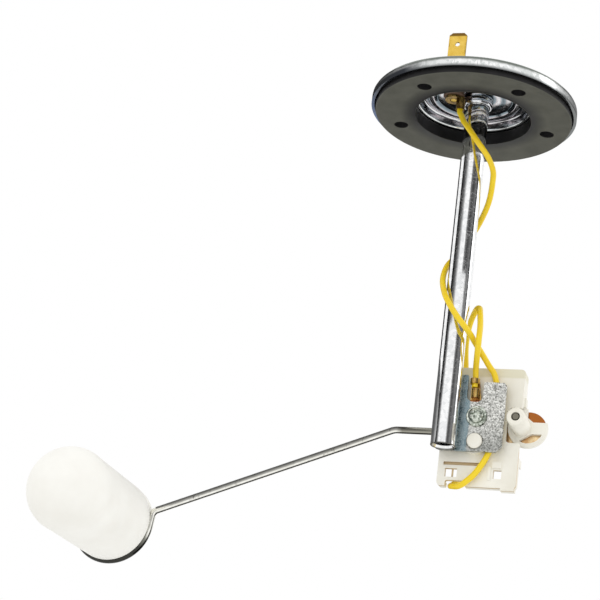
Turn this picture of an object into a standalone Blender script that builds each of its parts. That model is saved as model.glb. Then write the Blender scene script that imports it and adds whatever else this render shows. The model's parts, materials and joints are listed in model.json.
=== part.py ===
"""Fuel level sender: a flanged cover, a hanging stem, and a float arm on a wire-wound resistor.

Sizes are millimetres in the named values and metres in the scene, with +Z up.
The origin is the centre of the gasket's underside, the plane that meets the tank.
The stem hangs towards -Z, the arm lies towards -X and the bracket faces -Y.
"""

import math

import bmesh
import bpy
from mathutils import Matrix, Vector

MM = 0.001
SEAT_GAP = 0.25
RUNNING_GAP = 0.35

# Tank opening: gasket and bolt circle
GASKET_DIAMETER = 68.4
GASKET_LAND = 14.0
GASKET_THICKNESS = 5.0
GASKET_EDGE = 0.5
BOLT_INSET = 7.2
BOLT_HOLE = 5.0
BOLT_COUNT = 5
FIRST_BOLT_ANGLE = 27.4

# Cover: a pressed sheet with a raised pan and a turned-down rim
SHEET = 1.0
RIM_CLEARANCE = 0.55
RIM_INNER_RADIUS = 0.8
SKIRT_DEPTH = 3.2
PAN_CLEARANCE = 1.0
PAN_RAISE = 3.0
PAN_DRAFT = 0.7
BEAD_SHARE = 0.53
BEAD_DEPTH = 0.9

# Stem
STEM_X = 1.2
STEM_Y = 0.5
STEM_DIAMETER = 8.2
STEM_WALL = 0.9
STEM_REACH = 118.0
STAKE_WIDTH = 1.2
STAKE_HEIGHT = 0.9
COLLAR_WALL = 0.85
COLLAR_HEIGHT = 3.3

# Supply terminal on the cover
TERMINAL_X = -6.3
TERMINAL_Y = -5.0
INSULATOR_DIAMETER = 7.4
INSULATOR_HEIGHT = 6.0
INSULATOR_NECK = 4.4
WASHER_DIAMETER = 7.4
WASHER_HEIGHT = 1.9
RIVET_DIAMETER = 2.2
RIVET_HEAD = 4.2
RIVET_HEAD_HEIGHT = 1.0
BRASS_SHEET = 0.8
BLADE_WIDTH = 6.3
BLADE_TIP_HEIGHT = 30.0
BLADE_CHAMFER = 1.1
BLADE_BEVEL_HEIGHT = 1.3
BLADE_BEVEL_DEPTH = 0.26
BLADE_HOLE = 1.7
BLADE_HOLE_FROM_TIP = 4.6
BLADE_FOOT_DEPTH = 7.0
TAG_DIAMETER = 6.0

# Lead wire and its crimp barrels
LEAD_DIAMETER = 2.0
LUG_X = 8.7
LUG_RISE = 1.2
LUG_GRIP_LENGTH = 1.8
LUG_WIRE_GAP = 1.4
LUG_BARREL_SHIFT = 0.4
LUG_BARREL_DIAMETER = 2.6
LUG_BARREL_LENGTH = 3.3
LUG_SEAM = 0.5
LUG_RIVET_X = 10.0
LUG_RIVET_RISE = 0.1
LUG_RIVET_HEAD = 2.3
BARREL_WALL = 0.32
BARREL_LENGTH = 4.6
CRIMP_DEPTH = 1.6

# Bracket plate
PLATE_SHEET = 1.0
PLATE_RIGHT = 19.6
PLATE_OVERHANG = 0.9
PLATE_HEIGHT = 23.7
PLATE_LEFT_HEIGHT = 26.0
PLATE_CORNER = 3.4
PLATE_TOP_CHAMFER = 1.0
PLATE_BOTTOM_CHAMFER = 1.9
SLOT_LEFT = 6.6
SLOT_RIGHT = 11.9
SLOT_DEPTH = 6.9
SCREW_X = 10.5
SCREW_RISE = 11.8
SCREW_DIAMETER = 2.6
SCREW_HEAD = 5.0
SCREW_HEAD_HEIGHT = 1.9
SCREW_WASHER = 7.0
SCREW_WASHER_SHEET = 0.6
SCREW_LENGTH = 5.8
RECESS_WIDTH = 0.8
RECESS_DEPTH = 0.9
PEG_RISE = 3.5
PEG_DIAMETER = 5.1
PEG_PROUD = 0.9

# Resistor housing
STANDOFF = 2.55
HOUSING_LEFT = -1.6
HOUSING_RIGHT = 24.6
HOUSING_HEIGHT = 40.9
HOUSING_DROP = 10.9
HOUSING_WALL = 1.5
HOUSING_FACE = 1.6
HOUSING_DEPTH = 6.6
HOUSING_CORNER = 1.4
SKIRT_WALL_DEPTH = 3.2
OPEN_FOOT_HEIGHT = 8.4
BOSS_WALL = 2.2
FOOT_TAB_WIDTH = 4.5
FOOT_TAB_DROP = 0.75
WINDOW_SILL = 3.0
WINDOW_HEIGHT = 2.9
LEFT_WINDOW_X = 0.9
LEFT_WINDOW_WIDTH = 4.0
RIGHT_WINDOW_X = 16.9
RIGHT_WINDOW_WIDTH = 2.7
GROOVE_DEPTH = 0.9
GROOVE_WIDTH = 1.1
GROOVE_LENGTH = 12.4
BROW_HEIGHT = 3.2
BROW_DEPTH = 0.9
GRIP_RISE = 7.4
GRIP_HEIGHT = 3.2
GRIP_DEPTH = 2.8
LEAD_NOTCH_LEFT = 1.2
LEAD_NOTCH_RIGHT = 8.0
LEAD_NOTCH_HEIGHT = 1.9

# Pivot, rotor and wiper
PIVOT_X = 24.5
PIVOT_RISE = 10.4
ARM_DIAMETER = 2.4
HUB_FRONT = -1.5
HUB_DIAMETER = 6.1
HUB_CHAMFER = 0.4
CARRIER_FRONT = 10.8
CARRIER_SHEET = 1.5
CARRIER_RADIUS = 6.6
CARRIER_OFFSET = 2.0
CARRIER_BAR = 4.0
CARRIER_RIM = 1.4
WIPER_SHEET = 0.35
WIPER_MARGIN = 0.6
WIPER_TIP_WIDTH = 2.2
CONTACT_DIAMETER = 1.5
TRACK_RADIUS = 13.3
TRACK_WIDTH = 3.6
TRACK_HEIGHT = 1.5
TRACK_HALF_ANGLE = 34.0
WINDING_WALL = 0.35
WINDING_TURNS = 15
WINDING_RELIEF = 0.12
CARD_GAP = 0.2
CARD_END_ANGLE = 6.0
NOTCH_HALF_HEIGHT = 6.0
NOTCH_MARGIN = 1.6
WALL_GATE_DROP = 10.4

# Rear cover of the housing
REAR_SHEET = 1.0
BEARING_DIAMETER = 6.4
BEARING_PROUD = 0.4
BEARING_CLEARANCE = 0.3
STOP_DIAMETER = 3.4
STOP_REACH = 16.7
STOP_MARGIN = 1.0
ARM_TRAVEL = 52.0

# Float arm and float
ARM_PLANE = 19.2
AXLE_RECESS = 0.2
AXLE_BEND = 3.6
KNEE_X = -20.4
KNEE_BEND = 6.0
HOOK_BEND = 2.6
HOOK_LEAD = 5.3
HOOK_START_ANGLE = -5.0
HOOK_SWEEP = 268.0
ARM_TIP_X = -102.31
ARM_TIP_DROP = 38.37
FLOAT_NEAR_DIAMETER = 28.6
FLOAT_FAR_DIAMETER = 27.8
FLOAT_BARREL = 37.5
FLOAT_GROOVE_DEPTH = 0.8
FLOAT_GROOVE_WIDTH = 3.0
FLOAT_LIP = 1.6
FLOAT_LIP_DIAMETER = 27.6

# Levels that follow from the sizes above
GASKET_BORE = GASKET_DIAMETER - 2 * GASKET_LAND
BOLT_CIRCLE = GASKET_DIAMETER - 2 * BOLT_INSET
PAN_RADIUS = GASKET_BORE / 2 - PAN_CLEARANCE
TERMINAL_EDGE = math.hypot(TERMINAL_X, TERMINAL_Y) + WASHER_DIAMETER / 2
BEAD_ROOM = PAN_RADIUS - PAN_DRAFT - TERMINAL_EDGE
BEAD_RADIUS = TERMINAL_EDGE + BEAD_ROOM / 2
BEAD_HALF = BEAD_ROOM * BEAD_SHARE / 2
FLANGE_LOW = GASKET_THICKNESS + SEAT_GAP
FLANGE_TOP = FLANGE_LOW + SHEET
PAN_LOW = FLANGE_LOW + PAN_RAISE
PAN_TOP = PAN_LOW + SHEET
STEM_RADIUS = STEM_DIAMETER / 2
STEM_BOTTOM = -STEM_REACH
PLATE_TOP = STEM_BOTTOM + PLATE_HEIGHT
PLATE_LEFT_TOP = STEM_BOTTOM + PLATE_LEFT_HEIGHT
SLOT_BOTTOM = PLATE_TOP - SLOT_DEPTH
SCREW_Z = STEM_BOTTOM + SCREW_RISE
PEG_Z = STEM_BOTTOM + PEG_RISE
PIVOT_Z = STEM_BOTTOM + PIVOT_RISE
HOUSING_BOTTOM = STEM_BOTTOM - HOUSING_DROP
HOUSING_TOP = HOUSING_BOTTOM + HOUSING_HEIGHT
PLATE_FRONT = STEM_Y + STEM_RADIUS + SEAT_GAP
PLATE_BACK = PLATE_FRONT + PLATE_SHEET
PLATE_LEFT = STEM_X - STEM_RADIUS - PLATE_OVERHANG
HOUSING_FRONT = PLATE_BACK + STANDOFF
HOUSING_INSIDE = HOUSING_FRONT + HOUSING_FACE
HOUSING_BACK = HOUSING_FRONT + HOUSING_DEPTH
REAR_BACK = HOUSING_BACK
REAR_FRONT = REAR_BACK - REAR_SHEET
REAR_BOTTOM = HOUSING_BOTTOM + OPEN_FOOT_HEIGHT
CARRIER_BACK = CARRIER_FRONT + CARRIER_SHEET
WIPER_FRONT = CARRIER_BACK + SEAT_GAP
WIPER_BACK = WIPER_FRONT + WIPER_SHEET
TRACK_FRONT = HOUSING_INSIDE + SEAT_GAP
TRACK_BACK = TRACK_FRONT + TRACK_HEIGHT
AXLE_FRONT = HUB_FRONT + AXLE_RECESS
ARM_RADIUS = ARM_DIAMETER / 2
HOOK_RADIUS = FLOAT_FAR_DIAMETER / 2 - FLOAT_GROOVE_DEPTH + ARM_RADIUS + SEAT_GAP
HOOK_START = math.radians(HOOK_START_ANGLE)
ARM_TIP_Z = PIVOT_Z - ARM_TIP_DROP
FLOAT_X = ARM_TIP_X - HOOK_RADIUS * math.cos(HOOK_START)
FLOAT_Z = ARM_TIP_Z - HOOK_RADIUS * math.sin(HOOK_START)
LEAD_GAP_Y = PLATE_BACK + STANDOFF / 2
LEAD_BACK_Y = REAR_BACK + LEAD_DIAMETER / 2 + SEAT_GAP
LUG_TOP = PLATE_TOP + LUG_RISE
LUG_RIVET_Z = SLOT_BOTTOM + LUG_RIVET_RISE
LUG_BARREL_TOP = LUG_TOP - LUG_GRIP_LENGTH - LUG_WIRE_GAP
BARREL_OUTER = LEAD_DIAMETER / 2 + SEAT_GAP + BARREL_WALL
LUG_Y = HOUSING_FRONT - SEAT_GAP - 0.5 - BRASS_SHEET - BARREL_OUTER + 0.35
TAIL_X = TERMINAL_X + TAG_DIAMETER / 2 - 0.4
TAG_TOP = PAN_LOW - SEAT_GAP - WASHER_HEIGHT - SEAT_GAP
TAG_MOUTH = TAG_TOP - BARREL_LENGTH

# Lead route, chosen by hand: from the cover once round the stem, down behind the
# bracket, under the housing, up its back, and over to the resistor's lug
LEAD_ROUTE = [
    (TAIL_X, TERMINAL_Y, TAG_MOUTH - 0.9), (-2.7, -5.3, -1.5), (-1.8, -5.8, -3.5), (0.6, -6.9, -6.9),
    (4.1, -7.3, -12.0), (7.6, -5.0, -16.5), (9.1, -1.6, -19.8), (8.9, 1.4, -22.5), (7.4, 5.0, -29.3),
    (4.3, 7.2, -36.4), (0.6, 7.6, -43.3), (-2.6, 6.4, -49.2), (-4.5, 3.6, -54.0), (-4.6, 0.2, -59.9),
    (-2.7, -3.7, -66.0), (-0.5, -5.4, -70.3), (2.6, -6.1, -74.9), (5.4, -5.1, -78.2), (7.2, -1.9, -80.2),
    (8.3, 1.6, -81.8), (10.3, 4.7, -84.6), (12.6, 6.9, -88.0), (14.8, LEAD_GAP_Y, -91.3),
    (16.2, LEAD_GAP_Y, -98.0), (16.5, LEAD_GAP_Y, -107.0), (15.9, LEAD_GAP_Y, -114.4), (14.6, 7.1, -118.8),
    (13.1, 6.7, -122.1), (11.0, 6.5, -125.4), (8.2, 6.7, -128.1), (6.4, 7.5, -129.0), (4.8, 8.9, -128.9),
    (3.1, 10.6, -128.4), (2.4, 12.4, -127.9), (2.7, 14.2, -127.0), (3.8, 15.7, -125.2), (4.8, 16.4, -122.4),
    (4.3, LEAD_BACK_Y, -117.5), (3.5, LEAD_BACK_Y, -106.0), (3.2, LEAD_BACK_Y, -94.0), (2.7, 16.0, -86.0),
    (2.4, 14.2, -78.6), (3.5, 11.8, -71.9), (5.9, 8.8, -67.6), (7.7, 5.8, -68.1), (8.7, 2.9, -70.8),
    (9.8, 0.0, -76.3), (10.1, -1.4, -81.6), (9.6, 0.6, -85.8), (LUG_X + 0.1, LUG_Y - 1.4, -89.6),
    (LUG_X, LUG_Y, LUG_TOP + 0.9),
]
LEAD_START = (TAIL_X, TERMINAL_Y, TAG_MOUTH + CRIMP_DEPTH)
LEAD_END = (LUG_X, LUG_Y, LUG_BARREL_TOP + SEAT_GAP)
LEAD_POINT_SPACING = 4.4


def clear_scene():
    """Remove whatever the open scene holds, so the script can be run again."""
    for item in list(bpy.data.objects):
        bpy.data.objects.remove(item, do_unlink=True)


def finish(name, colour, roughness, metallic=0.0):
    """Return a Principled material with one colour."""
    material = bpy.data.materials.get(name) or bpy.data.materials.new(name)
    material.use_nodes = True
    shader = material.node_tree.nodes["Principled BSDF"]
    shader.inputs["Base Color"].default_value = (*colour, 1.0)
    shader.inputs["Roughness"].default_value = roughness
    shader.inputs["Metallic"].default_value = metallic
    material.diffuse_color = (*colour, 1.0)
    return material


ZINC = finish("zinc_plate", (0.62, 0.65, 0.68), 0.25, 1.0)
BRASS = finish("brass", (0.80, 0.58, 0.20), 0.30, 1.0)
COPPER = finish("copper", (0.80, 0.36, 0.14), 0.30, 1.0)
RUBBER = finish("black_rubber", (0.03, 0.03, 0.03), 0.60)
NYLON = finish("natural_nylon", (0.85, 0.82, 0.74), 0.45)
PHENOLIC = finish("brown_phenolic", (0.16, 0.09, 0.05), 0.50)
RESISTANCE = finish("resistance_wire", (0.45, 0.42, 0.38), 0.35, 1.0)
STEEL = finish("bright_steel", (0.55, 0.55, 0.54), 0.30, 1.0)
FLOAT_WHITE = finish("milky_polyethylene", (0.90, 0.90, 0.88), 0.40)
YELLOW = finish("yellow_pvc", (0.90, 0.68, 0.02), 0.40)


def fillet(corners, steps=4, closed=True):
    """Round a run of (u, v, radius) corners with arcs of the given steps."""
    points = []
    count = len(corners)
    for index, (u, v, radius) in enumerate(corners):
        ends_open = not closed and index in (0, count - 1)
        if radius <= 0 or ends_open:
            points.append((u, v))
            continue
        corner = Vector((u, v))
        before = (Vector(corners[index - 1][:2]) - corner).normalized()
        after = (Vector(corners[(index + 1) % count][:2]) - corner).normalized()
        half = before.angle(after) / 2
        reach = radius / math.tan(half)
        centre = corner + (before + after).normalized() * (radius / math.sin(half))
        start = corner + before * reach - centre
        turn = start.angle_signed(corner + after * reach - centre)
        for step in range(steps + 1):
            arm = start.copy()
            arm.rotate(Matrix.Rotation(-turn * step / steps, 2))
            points.append(tuple(centre + arm))
    return points


def box_outline(u0, u1, v0, v1, radius=0.0, steps=3):
    """Outline of a rectangle with one corner radius."""
    corners = [(u0, v0, radius), (u1, v0, radius), (u1, v1, radius), (u0, v1, radius)]
    return fillet(corners, steps)


def disc_outline(u, v, radius, count=24):
    """Outline of a circle, with a flat and not a corner at each side."""
    angles = [math.tau * (index + 0.5) / count for index in range(count)]
    return [(u + radius * math.cos(angle), v + radius * math.sin(angle)) for angle in angles]


def sector_outline(inner, outer, start, end, steps=12):
    """Outline of a ring's sector about the pivot, between two angles in degrees."""
    angles = [math.radians(start + (end - start) * step / steps) for step in range(steps + 1)]
    rim = [(PIVOT_X + outer * math.cos(a), PIVOT_Z + outer * math.sin(a)) for a in angles]
    bore = [(PIVOT_X + inner * math.cos(a), PIVOT_Z + inner * math.sin(a)) for a in reversed(angles)]
    return rim + bore


def offset_path(path, distance):
    """Shift an open 2-D path to its left by a distance, with mitred corners."""
    shifted = []
    for index, point in enumerate(path):
        here = Vector(point)
        arrive = (here - Vector(path[index - 1])).normalized() if index else None
        leave = (Vector(path[index + 1]) - here).normalized() if index < len(path) - 1 else None
        arrive = arrive or leave
        leave = leave or arrive
        normal = Vector((-arrive.y - leave.y, arrive.x + leave.x)).normalized()
        stretch = 1 / max(0.3, normal.dot(Vector((-arrive.y, arrive.x))))
        shifted.append(tuple(here + normal * distance * stretch))
    return shifted


def add_object(name, bm, material, sharp_angle=32.0):
    """Turn a bmesh in metres into a smooth-shaded object with its faces outwards."""
    bmesh.ops.recalc_face_normals(bm, faces=bm.faces)
    mesh = bpy.data.meshes.new(name)
    bm.to_mesh(mesh)
    bm.free()
    mesh.materials.append(material)
    mesh.shade_smooth()
    mesh.set_sharp_from_angle(angle=math.radians(sharp_angle))
    item = bpy.data.objects.new(name, mesh)
    bpy.context.scene.collection.objects.link(item)
    return item


def turned(name, outline, material, centre=(0, 0, 0), along="Z", segments=40):
    """Spin a closed outline of (radius, height) about an axis through centre."""
    bm = bmesh.new()
    ring = [bm.verts.new((radius * MM, 0, height * MM)) for radius, height in outline]
    pairs = zip(ring, ring[1:] + ring[:1])
    edges = [bm.edges.new(pair) for pair in pairs if max(v.co.x for v in pair) > 1e-9]
    bmesh.ops.spin(bm, geom=ring + edges, cent=(0, 0, 0), axis=(0, 0, 1),
                   angle=math.tau, steps=segments)
    bmesh.ops.remove_doubles(bm, verts=bm.verts, dist=1e-7)
    if along == "Y":
        bmesh.ops.rotate(bm, verts=bm.verts, cent=(0, 0, 0), matrix=Matrix.Rotation(-math.pi / 2, 3, "X"))
    bmesh.ops.translate(bm, verts=bm.verts, vec=Vector(centre) * MM)
    return add_object(name, bm, material)


def extruded(name, outline, low, high, material, along="Y"):
    """Push a flat outline along Y (outline in X, Z), Z (in X, Y) or X (in Y, Z)."""
    bm = bmesh.new()
    if along == "X":
        base = [bm.verts.new((low * MM, u * MM, v * MM)) for u, v in outline]
        push = Vector(((high - low) * MM, 0, 0))
    elif along == "Y":
        base = [bm.verts.new((u * MM, low * MM, v * MM)) for u, v in outline]
        push = Vector((0, (high - low) * MM, 0))
    else:
        base = [bm.verts.new((u * MM, v * MM, low * MM)) for u, v in outline]
        push = Vector((0, 0, (high - low) * MM))
    face = bm.faces.new(base)
    moved = bmesh.ops.extrude_face_region(bm, geom=[face])["geom"]
    bmesh.ops.translate(bm, verts=[v for v in moved if isinstance(v, bmesh.types.BMVert)], vec=push)
    return add_object(name, bm, material)


def combine(target, tool, operation):
    """Add an exact Boolean of a hidden tool to the target."""
    tool.hide_render = True
    tool.display_type = "WIRE"
    step = target.modifiers.new(tool.name, "BOOLEAN")
    step.operation = operation
    step.solver = "EXACT"
    step.object = tool


def cut(target, tool):
    combine(target, tool, "DIFFERENCE")


def fuse(target, tool):
    combine(target, tool, "UNION")


def drill(target, name, x, z, diameter, low, high, segments=24):
    """Cut a round hole along Y."""
    cut(target, extruded(name, disc_outline(x, z, diameter / 2, segments), low, high, NYLON))


def smooth_route(points, spacing):
    """Resample a Catmull-Rom curve through the points at about one spacing."""
    route = [Vector(point) for point in points]
    route = [2 * route[0] - route[1]] + route + [2 * route[-1] - route[-2]]
    fine = []
    for p0, p1, p2, p3 in zip(route, route[1:], route[2:], route[3:]):
        for step in range(12):
            t = step / 12
            fine.append(0.5 * (2 * p1 + (p2 - p0) * t + (2 * p0 - 5 * p1 + 4 * p2 - p3) * t * t
                               + (3 * p1 - p0 - 3 * p2 + p3) * t ** 3))
    fine.append(route[-2])
    lengths = [0.0]
    for a, b in zip(fine, fine[1:]):
        lengths.append(lengths[-1] + (b - a).length)
    count = max(2, round(lengths[-1] / spacing))
    result, index = [], 0
    for step in range(count + 1):
        goal = lengths[-1] * step / count
        while index < len(fine) - 2 and lengths[index + 1] < goal:
            index += 1
        span = lengths[index + 1] - lengths[index]
        result.append(fine[index].lerp(fine[index + 1], (goal - lengths[index]) / span if span else 0))
    return result


def round_bar(name, points, diameter, material, resolution, origin=(0, 0, 0)):
    """Sweep a round section along points, with its object's origin where asked."""
    curve = bpy.data.curves.new(name, "CURVE")
    curve.dimensions = "3D"
    curve.bevel_depth = diameter / 2 * MM
    curve.bevel_resolution = resolution
    curve.use_fill_caps = True
    spline = curve.splines.new("POLY")
    spline.points.add(len(points) - 1)
    for knot, point in zip(spline.points, points):
        knot.co = (*((Vector(point) - Vector(origin)) * MM), 1.0)
    curve.materials.append(material)
    item = bpy.data.objects.new(name, curve)
    item.location = Vector(origin) * MM
    bpy.context.scene.collection.objects.link(item)
    return item


def bolt_angles():
    """Angles of the bolt holes in degrees from +X."""
    return [FIRST_BOLT_ANGLE + 360.0 / BOLT_COUNT * index for index in range(BOLT_COUNT)]


def bolt_holes(target, low, high):
    """Cut the bolt circle through a flange."""
    for index, angle in enumerate(bolt_angles()):
        x = BOLT_CIRCLE / 2 * math.cos(math.radians(angle))
        y = BOLT_CIRCLE / 2 * math.sin(math.radians(angle))
        outline = disc_outline(x, y, BOLT_HOLE / 2, 20)
        cut(target, extruded(f"{target.name}_bolt_{index}", outline, low, high, RUBBER, "Z"))


# Gasket and cover
def make_gasket():
    inner, outer, edge = GASKET_BORE / 2, GASKET_DIAMETER / 2, GASKET_EDGE
    outline = [(inner, 0), (outer - edge, 0), (outer, edge), (outer, GASKET_THICKNESS - edge),
               (outer - edge, GASKET_THICKNESS), (inner, GASKET_THICKNESS)]
    gasket = turned("gasket", outline, RUBBER, segments=44)
    bolt_holes(gasket, -1, GASKET_THICKNESS + 1)


def make_cover():
    """A single pressing: pan with a stiffening bead, flat flange and skirt."""
    rim = GASKET_DIAMETER / 2 + RIM_CLEARANCE
    pan, bead, half = PAN_RADIUS, BEAD_RADIUS, BEAD_HALF
    corners = [(0, PAN_LOW, 0), (bead - half, PAN_LOW, 0), (bead - half / 2, PAN_LOW - BEAD_DEPTH, 0),
               (bead + half / 2, PAN_LOW - BEAD_DEPTH, 0), (bead + half, PAN_LOW, 0),
               (pan - PAN_DRAFT, PAN_LOW, 0.8), (pan, FLANGE_LOW, 0.8),
               (rim, FLANGE_LOW, RIM_INNER_RADIUS), (rim, FLANGE_LOW - SKIRT_DEPTH, 0)]
    underside = fillet(corners, steps=2, closed=False)
    top = offset_path(underside, SHEET)
    top[0] = (0, PAN_TOP)
    cover = turned("cover_plate", underside + top[::-1], ZINC, segments=40)
    bolt_holes(cover, FLANGE_LOW - 1, FLANGE_TOP + 1)
    stem_hole = disc_outline(STEM_X, STEM_Y, STEM_RADIUS + SEAT_GAP, 32)
    cut(cover, extruded("cover_stem_hole", stem_hole, PAN_LOW - 2, PAN_TOP + 1, ZINC, "Z"))
    neck_hole = disc_outline(TERMINAL_X, TERMINAL_Y, INSULATOR_NECK / 2 + SEAT_GAP)
    cut(cover, extruded("cover_terminal_hole", neck_hole, PAN_LOW - 2, PAN_TOP + 1, ZINC, "Z"))


# Stem and its collar
def make_stem():
    """Blind tube: open below, closed and staked over the cover above."""
    lip_low = PAN_TOP + SEAT_GAP
    top = lip_low + STAKE_HEIGHT
    bore = STEM_RADIUS - STEM_WALL
    outline = [(0, top), (STEM_RADIUS + STAKE_WIDTH - 0.3, top), (STEM_RADIUS + STAKE_WIDTH, top - 0.3),
               (STEM_RADIUS + STAKE_WIDTH, lip_low), (STEM_RADIUS, lip_low), (STEM_RADIUS, STEM_BOTTOM),
               (bore, STEM_BOTTOM), (bore, lip_low), (0, lip_low)]
    turned("stem_tube", outline, ZINC, (STEM_X, STEM_Y, 0), segments=32)
    inner = STEM_RADIUS + SEAT_GAP
    outer = inner + COLLAR_WALL
    high = PAN_LOW - SEAT_GAP
    low = high - COLLAR_HEIGHT
    ring = [(inner, low), (outer - 0.5, low), (outer, low + 0.7), (outer, high), (inner, high)]
    turned("stem_collar", ring, ZINC, (STEM_X, STEM_Y, 0), segments=24)


# Supply terminal
def make_terminal():
    """Blade, insulating bush and washer, tag and the rivet that holds them."""
    here = (TERMINAL_X, TERMINAL_Y, 0)
    neck, bore = INSULATOR_NECK / 2, RIVET_DIAMETER / 2 + SEAT_GAP
    bush_low = PAN_TOP + SEAT_GAP
    bush_top = bush_low + INSULATOR_HEIGHT
    washer_top = PAN_LOW - SEAT_GAP
    washer_low = TAG_TOP + SEAT_GAP
    outer = INSULATOR_DIAMETER / 2
    bush = [(bore, washer_top), (neck, washer_top), (neck, bush_low), (outer, bush_low),
            (outer, bush_top - 2.0), (outer - 1.4, bush_top), (bore, bush_top)]
    turned("terminal_bush", bush, PHENOLIC, here, segments=24)
    washer = WASHER_DIAMETER / 2
    ring = [(bore, washer_low), (washer - 0.3, washer_low), (washer, washer_low + 0.3),
            (washer, washer_top - SEAT_GAP), (bore, washer_top - SEAT_GAP)]
    turned("terminal_washer", ring, PHENOLIC, here, segments=20)

    foot_low = bush_top + SEAT_GAP
    foot_top = foot_low + BRASS_SHEET
    half = BLADE_WIDTH / 2
    front = TERMINAL_Y - BLADE_FOOT_DEPTH / 2
    back = front + BRASS_SHEET
    inset = half - 0.2
    foot = extruded("terminal_blade", box_outline(TERMINAL_X - inset, TERMINAL_X + inset, front + 0.3,
                                                  front + BLADE_FOOT_DEPTH, 0.4),
                    foot_low, foot_top, BRASS, "Z")
    chamfer = BLADE_CHAMFER
    tip = BLADE_TIP_HEIGHT
    heel = foot_low - 0.1
    outline = [(TERMINAL_X - half, heel), (TERMINAL_X + half, heel), (TERMINAL_X + half, tip - chamfer),
               (TERMINAL_X + half - chamfer, tip), (TERMINAL_X - half + chamfer, tip),
               (TERMINAL_X - half, tip - chamfer)]
    upright = extruded("blade_upright", outline, front, back, BRASS)
    fuse(foot, upright)
    for name, face, side in (("front", front, -1), ("back", back, 1)):
        wedge = [(face + side, tip - BLADE_BEVEL_HEIGHT * (1 + 1 / BLADE_BEVEL_DEPTH)),
                 (face + side, tip + 1),
                 (face - side * BLADE_BEVEL_DEPTH * (1 + 1 / BLADE_BEVEL_HEIGHT), tip + 1)]
        cut(foot, extruded(f"blade_bevel_{name}", wedge, TERMINAL_X - half - 1, TERMINAL_X + half + 1,
                           BRASS, "X"))
    drill(foot, "blade_hole", TERMINAL_X, tip - BLADE_HOLE_FROM_TIP, BLADE_HOLE, front - 1, back + 1, 16)
    hole = disc_outline(TERMINAL_X, TERMINAL_Y, bore, 20)
    cut(foot, extruded("blade_rivet_hole", hole, foot_low - 1, foot_top + 1, BRASS, "Z"))

    tag_top = TAG_TOP
    tag_low = tag_top - BRASS_SHEET
    tag = extruded("terminal_tag", disc_outline(TERMINAL_X, TERMINAL_Y, TAG_DIAMETER / 2, 22),
                   tag_low, tag_top, BRASS, "Z")
    barrel = [(0, tag_top), (BARREL_OUTER, tag_top), (BARREL_OUTER, TAG_MOUTH), (0, TAG_MOUTH)]
    fuse(tag, turned("tag_barrel", barrel, BRASS, (TAIL_X, TERMINAL_Y, 0), segments=18))
    mouth = disc_outline(TAIL_X, TERMINAL_Y, BARREL_OUTER - BARREL_WALL, 16)
    cut(tag, extruded("tag_mouth", mouth, TAG_MOUTH - 1, TAG_MOUTH + CRIMP_DEPTH + SEAT_GAP, BRASS, "Z"))
    cut(tag, extruded("tag_rivet_hole", disc_outline(TERMINAL_X, TERMINAL_Y, bore, 20),
                      tag_low - SEAT_GAP, tag_top + 1, BRASS, "Z"))

    shank = RIVET_DIAMETER / 2
    head = RIVET_HEAD / 2
    top = foot_top + SEAT_GAP
    rivet = [(0, top + RIVET_HEAD_HEIGHT), (head * 0.6, top + RIVET_HEAD_HEIGHT), (head, top + 0.4),
             (head, top), (shank, top), (shank, tag_low), (0, tag_low)]
    turned("terminal_rivet", rivet, BRASS, here, segments=20)


# Bracket plate with its screw
def make_bracket():
    """Flat plate welded behind the stem, slotted over the resistor's lug."""
    corners = [(PLATE_LEFT, STEM_BOTTOM, PLATE_CORNER), (PLATE_RIGHT - PLATE_BOTTOM_CHAMFER, STEM_BOTTOM, 0.4),
               (PLATE_RIGHT, STEM_BOTTOM + PLATE_BOTTOM_CHAMFER, 0.4),
               (PLATE_RIGHT, PLATE_TOP - PLATE_TOP_CHAMFER, 0.3),
               (PLATE_RIGHT - PLATE_TOP_CHAMFER, PLATE_TOP, 0.3), (SLOT_RIGHT, PLATE_TOP, 0.6),
               (SLOT_RIGHT, SLOT_BOTTOM, 2.0), (SLOT_LEFT, SLOT_BOTTOM, 2.0), (SLOT_LEFT, PLATE_LEFT_TOP, 0.5),
               (PLATE_LEFT, PLATE_LEFT_TOP, 0.5)]
    plate = extruded("bracket_plate", fillet(corners, 3), PLATE_FRONT, PLATE_BACK, ZINC)
    drill(plate, "plate_screw_hole", SCREW_X, SCREW_Z, SCREW_DIAMETER + 2 * SEAT_GAP,
          PLATE_FRONT - 1, PLATE_BACK + 1)
    drill(plate, "plate_peg_hole", SCREW_X, PEG_Z, PEG_DIAMETER + 2 * SEAT_GAP,
          PLATE_FRONT - 1, PLATE_BACK + 1)


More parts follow.
